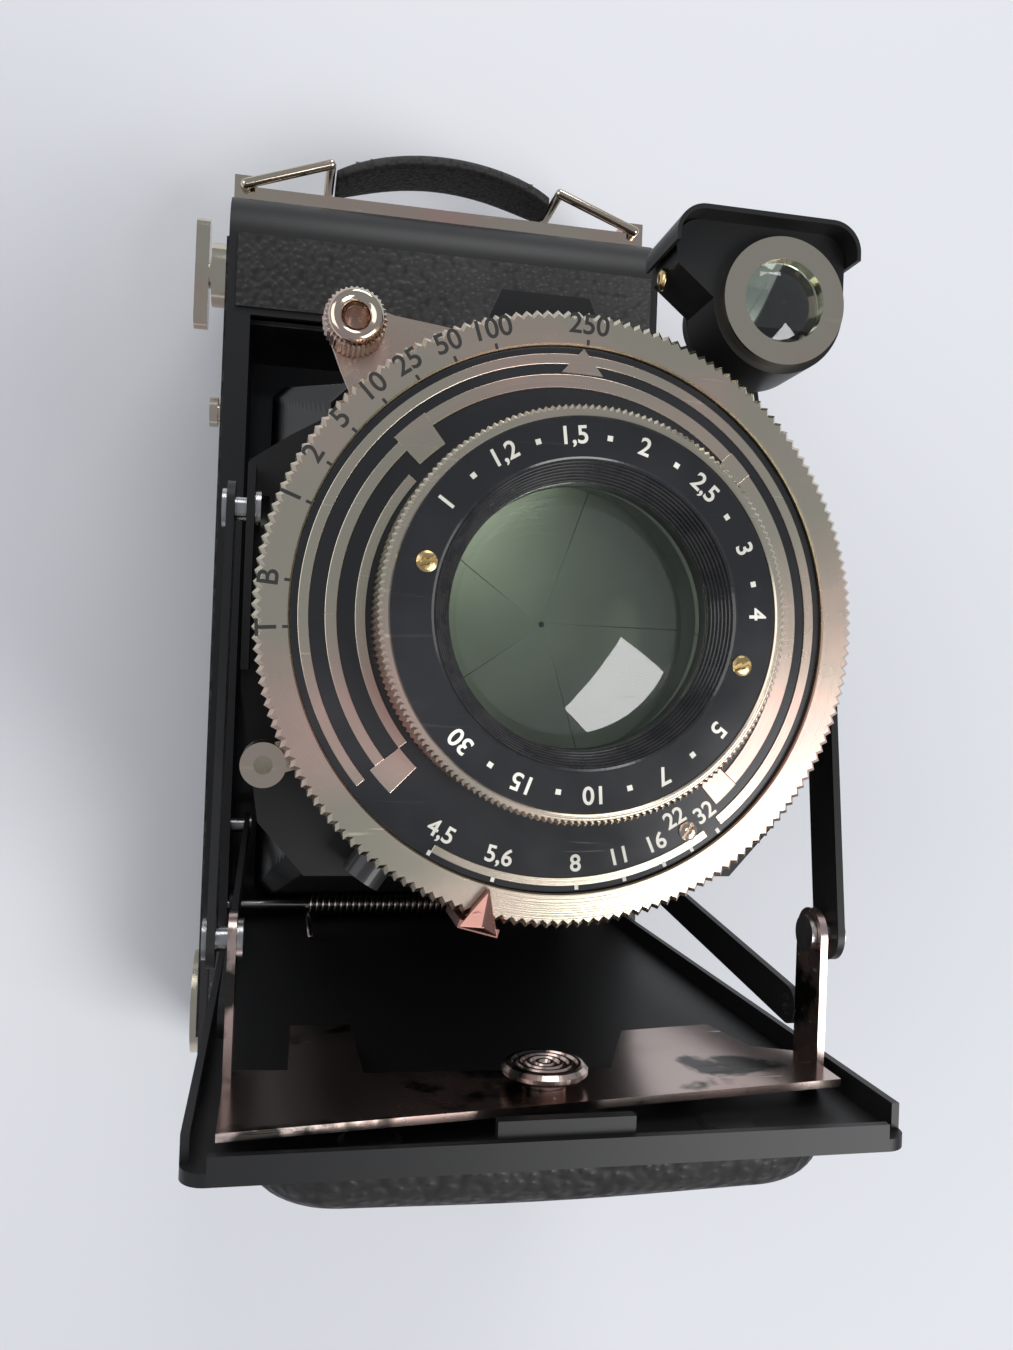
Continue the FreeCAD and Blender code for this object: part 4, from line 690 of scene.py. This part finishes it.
def make_bed_trim(sizes):
    """Coil spring, ringed button, flat rivets and the domed leather of the bed."""
    hinge = [(a + b) / 2 for a, b in zip(low("bed_hinge_pin"), high("bed_hinge_pin"))]
    turns, steps, wire, coil = sizes.spring_turns, 20, 0.42, 1.5
    start, stop, sides = -20.5, 19.5, 8
    path = []
    for i in range(turns * steps + 1):
        turn = 2 * math.pi * i / steps
        path.append(Vector((start + (stop - start) * i / (turns * steps),
                            hinge[1] - coil * math.cos(turn), hinge[2] + coil * math.sin(turn))))
    leg_y = low("bed_spring")[1] + 0.5
    lead = [Vector((start - 0.4, leg_y + 0.5, hinge[2] + 19.0)),
            Vector((start - 0.4, leg_y + 0.5, hinge[2] + 3.0)),
            Vector((start - 0.2, hinge[1] - coil, hinge[2] + 0.6))]
    path = lead + path
    points, faces = [], []
    for i, here in enumerate(path):
        ahead = (path[min(i + 1, len(path) - 1)] - path[max(i - 1, 0)]).normalized()
        side = ahead.cross(Vector((1, 0, 0)) if abs(ahead.x) < 0.9 else Vector((0, 1, 0)))
        side.normalize()
        other = ahead.cross(side)
        for k in range(sides):
            turn = 2 * math.pi * k / sides
            points.append(here + wire * (math.cos(turn) * side + math.sin(turn) * other))
    for i in range(len(path) - 1):
        for k in range(sides):
            a, b = i * sides + k, i * sides + (k + 1) % sides
            faces.append((a, b, b + sides, a + sides))
    faces += [tuple(range(sides)), tuple(range(len(points) - sides, len(points)))]
    piece("bed_spring_coil", points, faces, "bed", "steel", "spring_steel", ("bed_spring",),
          smooth=True)
    top, radius = high("press_button")[1], (high("press_button")[0] - low("press_button")[0]) / 2
    centre_z = (low("press_button")[2] + high("press_button")[2]) / 2
    profile = [(2.2, low("press_button")[1]), (2.2, top - 1.2), (radius - 0.3, top - 1.2),
               (radius, top - 0.9), (radius, top - 0.5), (radius - 0.4, top - 0.1)]
    rings = 4
    for i in range(rings):
        r = (radius - 0.7) * (1 - i / rings)
        profile += [(r, top), (r - 0.3, top), (r - 0.45, top - 0.3), (r - 0.75, top - 0.3)]
    profile += [(0.02, top), (0.02, low("press_button")[1])]
    points, faces = lathe(profile, 64)
    points = [(x, z, centre_z - y) for x, y, z in points]
    piece("press_button_ringed", points, faces, "press_button", "nickel", "worn_nickel",
          ("press_button",))
    for side, x in (("left", -17.5), ("right", 17.5)):
        cap = [(0.02, 0.35), (2.4, 0.3), (3.0, 0.0), (0.02, 0.0)]
        points, faces = lathe(cap, 40)
        inner = low("bed_bracket")[1]
        points = [(px + x, pz + inner, high("bed_plate")[2] - 5.5 - py) for px, py, pz in points]
        piece("bed_rivet_" + side, points, faces, "bed", "black_enamel", "black_enamel")
    make_bed_dome()


def make_bed_dome():
    """Leather skin over the bed's pressed panel: a flat margin, then a rise with soft corners."""
    lo, hi = low("bed_leather"), high("bed_leather")
    columns, rows = 84, 118
    margin, corner, edge, skin = 3.6, 9.0, 4.2, 0.5
    middle_x, middle_z = (lo[0] + hi[0]) / 2, (lo[2] + hi[2] + margin) / 2
    reach_x, reach_z = (hi[0] - lo[0]) / 2 - margin, (hi[2] - lo[2] - margin) / 2 - 0.3
    rise = hi[1] - skin - lo[1]
    points, faces = [], []
    for layer in (0, 1):
        for j in range(rows + 1):
            z = lo[2] + (hi[2] - lo[2]) * j / rows
            for i in range(columns + 1):
                x = lo[0] + (hi[0] - lo[0]) * i / columns
                dx = abs(x - middle_x) - reach_x + corner
                dz = abs(z - middle_z) - reach_z + corner
                out = math.hypot(dx, dz) if dx > 0 and dz > 0 else max(dx, dz)
                share = min(1.0, max(0.0, (corner - out) / edge))
                swell = math.sqrt(1 - (1 - share) ** 2)
                belly = 0.88 + 0.12 * math.cos(math.pi * (x - middle_x) / (2 * reach_x)) ** 2
                drop = hi[1] - skin - rise * swell * belly
                points.append((x, hi[1] if layer else drop, z))
    size = (columns + 1) * (rows + 1)
    for j in range(rows):
        for i in range(columns):
            a = j * (columns + 1) + i
            quad = (a, a + 1, a + columns + 2, a + columns + 1)
            faces += [quad, tuple(q + size for q in quad)]
    for i in range(columns):
        a, b = i, rows * (columns + 1) + i
        faces += [(a, a + 1, a + 1 + size, a + size), (b, b + 1, b + 1 + size, b + size)]
    for j in range(rows):
        for side in (0, columns):
            a = j * (columns + 1) + side
            faces.append((a, a + columns + 1, a + columns + 1 + size, a + size))
    piece("bed_leather_dome", points, faces, "bed", "leather", "pebbled_leather",
          ("bed_leather",), smooth=True)


def make_handle(sizes):
    """Arched leather strap with rounded edges and a row of stitches along each side."""
    lo, hi = low("handle_strap"), high("handle_strap")
    reach, rise = hi[0], hi[1] - lo[1] - 2.4
    columns, section = 60, 20
    half_y, half_z = 1.15, (hi[2] - lo[2]) / 2
    middle_z = (hi[2] + lo[2]) / 2
    points, faces = [], []

    def centre(share):
        x = -reach + 2 * reach * share
        return x, lo[1] + 1.2 + rise * (1 - (x / reach) ** 2)

    for i in range(columns + 1):
        x, y = centre(i / columns)
        pinch = 1 - 0.25 * abs(i / columns * 2 - 1) ** 6
        for k in range(section):
            turn = 2 * math.pi * k / section
            cy, cz = math.cos(turn), math.sin(turn)
            points.append((x, y + half_y * math.copysign(abs(cy) ** 0.6, cy),
                           middle_z + half_z * pinch * math.copysign(abs(cz) ** 0.35, cz)))
    for i in range(columns):
        for k in range(section):
            a, b = i * section + k, i * section + (k + 1) % section
            faces.append((a, b, b + section, a + section))
    faces += [tuple(range(section)), tuple(range(columns * section, (columns + 1) * section))]
    piece("handle_strap_leather", points, faces, "strap", "leather", "strap_leather",
          ("handle_strap",), smooth=True)
    count = int(2 * reach * MM / sizes.stitch_gap) - 2
    points, faces = [], []
    for side in (-1, 1):
        for i in range(count):
            x, y = centre((i + 1.5) / (count + 2))
            z = middle_z + side * (half_z - 1.6)
            base = len(points)
            for dx in (-0.7, 0.7):
                for dy, dz in ((half_y - 0.3, -0.2), (half_y + 0.05, -0.12),
                               (half_y + 0.05, 0.12), (half_y - 0.3, 0.2)):
                    points.append((x + dx, y + dy, z + dz))
            faces += [tuple(base + k for k in (0, 1, 2, 3)), tuple(base + k for k in (4, 5, 6, 7))]
            faces += [(base + k, base + (k + 1) % 4, base + 4 + (k + 1) % 4, base + 4 + k)
                      for k in range(4)]
    piece("handle_stitches", points, faces, "strap", "leather", "matt_black")


def make_knob():
    """Knurled hollow knob of the cocking lever."""
    lo, hi = low("cocking_knob"), high("cocking_knob")
    centre = ((lo[0] + hi[0]) / 2, (lo[1] + hi[1]) / 2)
    outer = (hi[0] - lo[0]) / 2
    points, faces = toothed(outer, 1.1, lo[2], hi[2] - 1.0, 36, 0.22, 0.3, centre)
    piece("cocking_knob_knurled", points, faces, "cocking", "nickel", "bright_nickel",
          ("cocking_knob",))
    crown = [(1.1, hi[2] - 1.0), (outer - 0.3, hi[2] - 1.0), (outer - 0.5, hi[2] - 0.3),
             (outer - 0.9, hi[2]), (1.9, hi[2]), (1.4, hi[2] - 0.3)]
    piece("cocking_knob_crown", *lathe(crown, 64, centre), "cocking", "nickel", "bright_nickel",
          smooth=True)


# ---- stage -----------------------------------------------------------------------
LAMP_TARGET = (0.0, 0.0, 0.06)
LAMPS = (("key", (0.35, -0.25, 0.62), 0.35, 3.0),
         ("fill", (-0.55, 0.15, 0.5), 0.6, 2.0),
         ("rim", (0.1, 0.6, 0.35), 0.3, 1.5))
FLOOR_REACH, FLOOR_COLOUR = 3.0, (0.72, 0.73, 0.75, 1.0)
SKY_COLOUR, SKY_STRENGTH = (0.86, 0.90, 1.0, 1.0), 0.38
EYE = Vector((-27.35, -6.54, 233.0))
TURN = Vector((-0.0045, 0.2025, -0.0377))
FOCAL = 29.56
SENSOR = 36.0
NEAREST = 0.005


def area_lamp(name, where, size, power):
    """A soft square lamp turned towards the middle of the camera."""
    lamp = bpy.data.lights.new(name, "AREA")
    lamp.size = size
    lamp.energy = power
    made = bpy.data.objects.new(name, lamp)
    made.location = where
    made.rotation_euler = (Vector(LAMP_TARGET) - Vector(where)).to_track_quat("-Z", "Y").to_euler()
    bpy.context.collection.objects.link(made)


def make_stage():
    """Pale floor, even sky, three soft lamps and the camera."""
    mesh = bpy.data.meshes.new("floor")
    reach = FLOOR_REACH
    mesh.from_pydata([(-reach, -reach, 0), (reach, -reach, 0), (reach, reach, 0),
                      (-reach, reach, 0)], [], [(0, 1, 2, 3)])
    floor = bpy.data.objects.new("floor", mesh)
    bpy.context.collection.objects.link(floor)
    material, tree, shader = new_material("pale_floor", Roughness=0.8)
    shader.inputs["Base Color"].default_value = FLOOR_COLOUR
    mesh.materials.append(material)
    world = bpy.data.worlds.new("studio")
    world.use_nodes = True
    sky = world.node_tree.nodes["Background"]
    sky.inputs["Color"].default_value = SKY_COLOUR
    sky.inputs["Strength"].default_value = SKY_STRENGTH
    scene = bpy.context.scene
    scene.world = world
    scene.view_settings.view_transform = "Standard"
    for lamp in LAMPS:
        area_lamp(*lamp)
    lens = bpy.data.cameras.new("camera")
    lens.sensor_fit = "VERTICAL"
    lens.sensor_height = SENSOR
    lens.lens = FOCAL
    lens.clip_start = NEAREST
    camera = bpy.data.objects.new("camera", lens)
    turned = Matrix.Rotation(TURN.length, 3, TURN.normalized()).transposed()
    camera.matrix_world = Matrix.Translation(EYE * MM) @ turned.to_4x4()
    bpy.context.collection.objects.link(camera)
    scene.camera = camera


# ---- operators -------------------------------------------------------------------
class CAMERA_OT_finishes(bpy.types.Operator):
    """Builds the finishes and gives them to the CAD pieces"""
    bl_idname = "camera_part.finishes"
    bl_label = "Finishes"

    def execute(self, context):
        build_materials(context.scene.camera_colours)
        finish_nodes()
        return {"FINISHED"}


class CAMERA_OT_speed_ring(bpy.types.Operator):
    """Makes the serrated speed ring with its numbers and ticks"""
    bl_idname = "camera_part.speed_ring"
    bl_label = "Speed ring"

    def execute(self, context):
        make_speed_ring(context.scene.camera_sizes)
        return {"FINISHED"}


class CAMERA_OT_face(bpy.types.Operator):
    """Makes the raised lines, the aperture scale and its pointer"""
    bl_idname = "camera_part.face"
    bl_label = "Shutter face"

    def execute(self, context):
        make_face_trim()
        make_pointer()
        return {"FINISHED"}


class CAMERA_OT_front_cell(bpy.types.Operator):
    """Makes the knurled ring, the grooved face and its screws"""
    bl_idname = "camera_part.front_cell"
    bl_label = "Front cell"

    def execute(self, context):
        make_front_cell(context.scene.camera_sizes)
        return {"FINISHED"}


class CAMERA_OT_bellows(bpy.types.Operator):
    """Makes the pleated bellows"""
    bl_idname = "camera_part.bellows"
    bl_label = "Bellows"

    def execute(self, context):
        make_bellows(context.scene.camera_sizes)
        return {"FINISHED"}


class CAMERA_OT_bed(bpy.types.Operator):
    """Makes the opening spring, the button, the rivets and the raised leather"""
    bl_idname = "camera_part.bed"
    bl_label = "Bed trim"

    def execute(self, context):
        make_bed_trim(context.scene.camera_sizes)
        return {"FINISHED"}


class CAMERA_OT_handle(bpy.types.Operator):
    """Makes the stitched strap"""
    bl_idname = "camera_part.handle"
    bl_label = "Handle"

    def execute(self, context):
        make_handle(context.scene.camera_sizes)
        return {"FINISHED"}


class CAMERA_OT_knobs(bpy.types.Operator):
    """Makes the knurled cocking knob and the finder's screw"""
    bl_idname = "camera_part.knobs"
    bl_label = "Knobs"

    def execute(self, context):
        make_knob()
        make_finder_screw()
        return {"FINISHED"}


class CAMERA_OT_stage(bpy.types.Operator):
    """Makes the floor, the lamps and the camera"""
    bl_idname = "camera_part.stage"
    bl_label = "Stage"

    def execute(self, context):
        make_stage()
        return {"FINISHED"}


OPERATORS = (CAMERA_OT_finishes, CAMERA_OT_speed_ring, CAMERA_OT_face,
             CAMERA_OT_front_cell, CAMERA_OT_bellows, CAMERA_OT_bed,
             CAMERA_OT_handle, CAMERA_OT_knobs, CAMERA_OT_stage)


class CAMERA_PT_parts(bpy.types.Panel):
    """Lists the builders in the sidebar."""
    bl_label = "Folding camera"
    bl_idname = "CAMERA_PT_parts"
    bl_space_type = "VIEW_3D"
    bl_region_type = "UI"
    bl_category = "Folding camera"

    def draw(self, context):
        for made in OPERATORS:
            self.layout.operator(made.bl_idname)


CLASSES = (CameraSizes, CameraColours) + OPERATORS + (CAMERA_PT_parts,)


def register():
    """Adds the classes and the settings to Blender."""
    for made in CLASSES:
        bpy.utils.register_class(made)
    bpy.types.Scene.camera_sizes = bpy.props.PointerProperty(type=CameraSizes)
    bpy.types.Scene.camera_colours = bpy.props.PointerProperty(type=CameraColours)


def unregister():
    """Takes the settings and the classes away again."""
    del bpy.types.Scene.camera_colours
    del bpy.types.Scene.camera_sizes
    for made in reversed(CLASSES):
        bpy.utils.unregister_class(made)


def main():
    """Registers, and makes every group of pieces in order."""
    register()
    for made in OPERATORS:
        getattr(bpy.ops.camera_part, made.bl_idname.split(".")[1])()


if __name__ == "__main__":
    main()
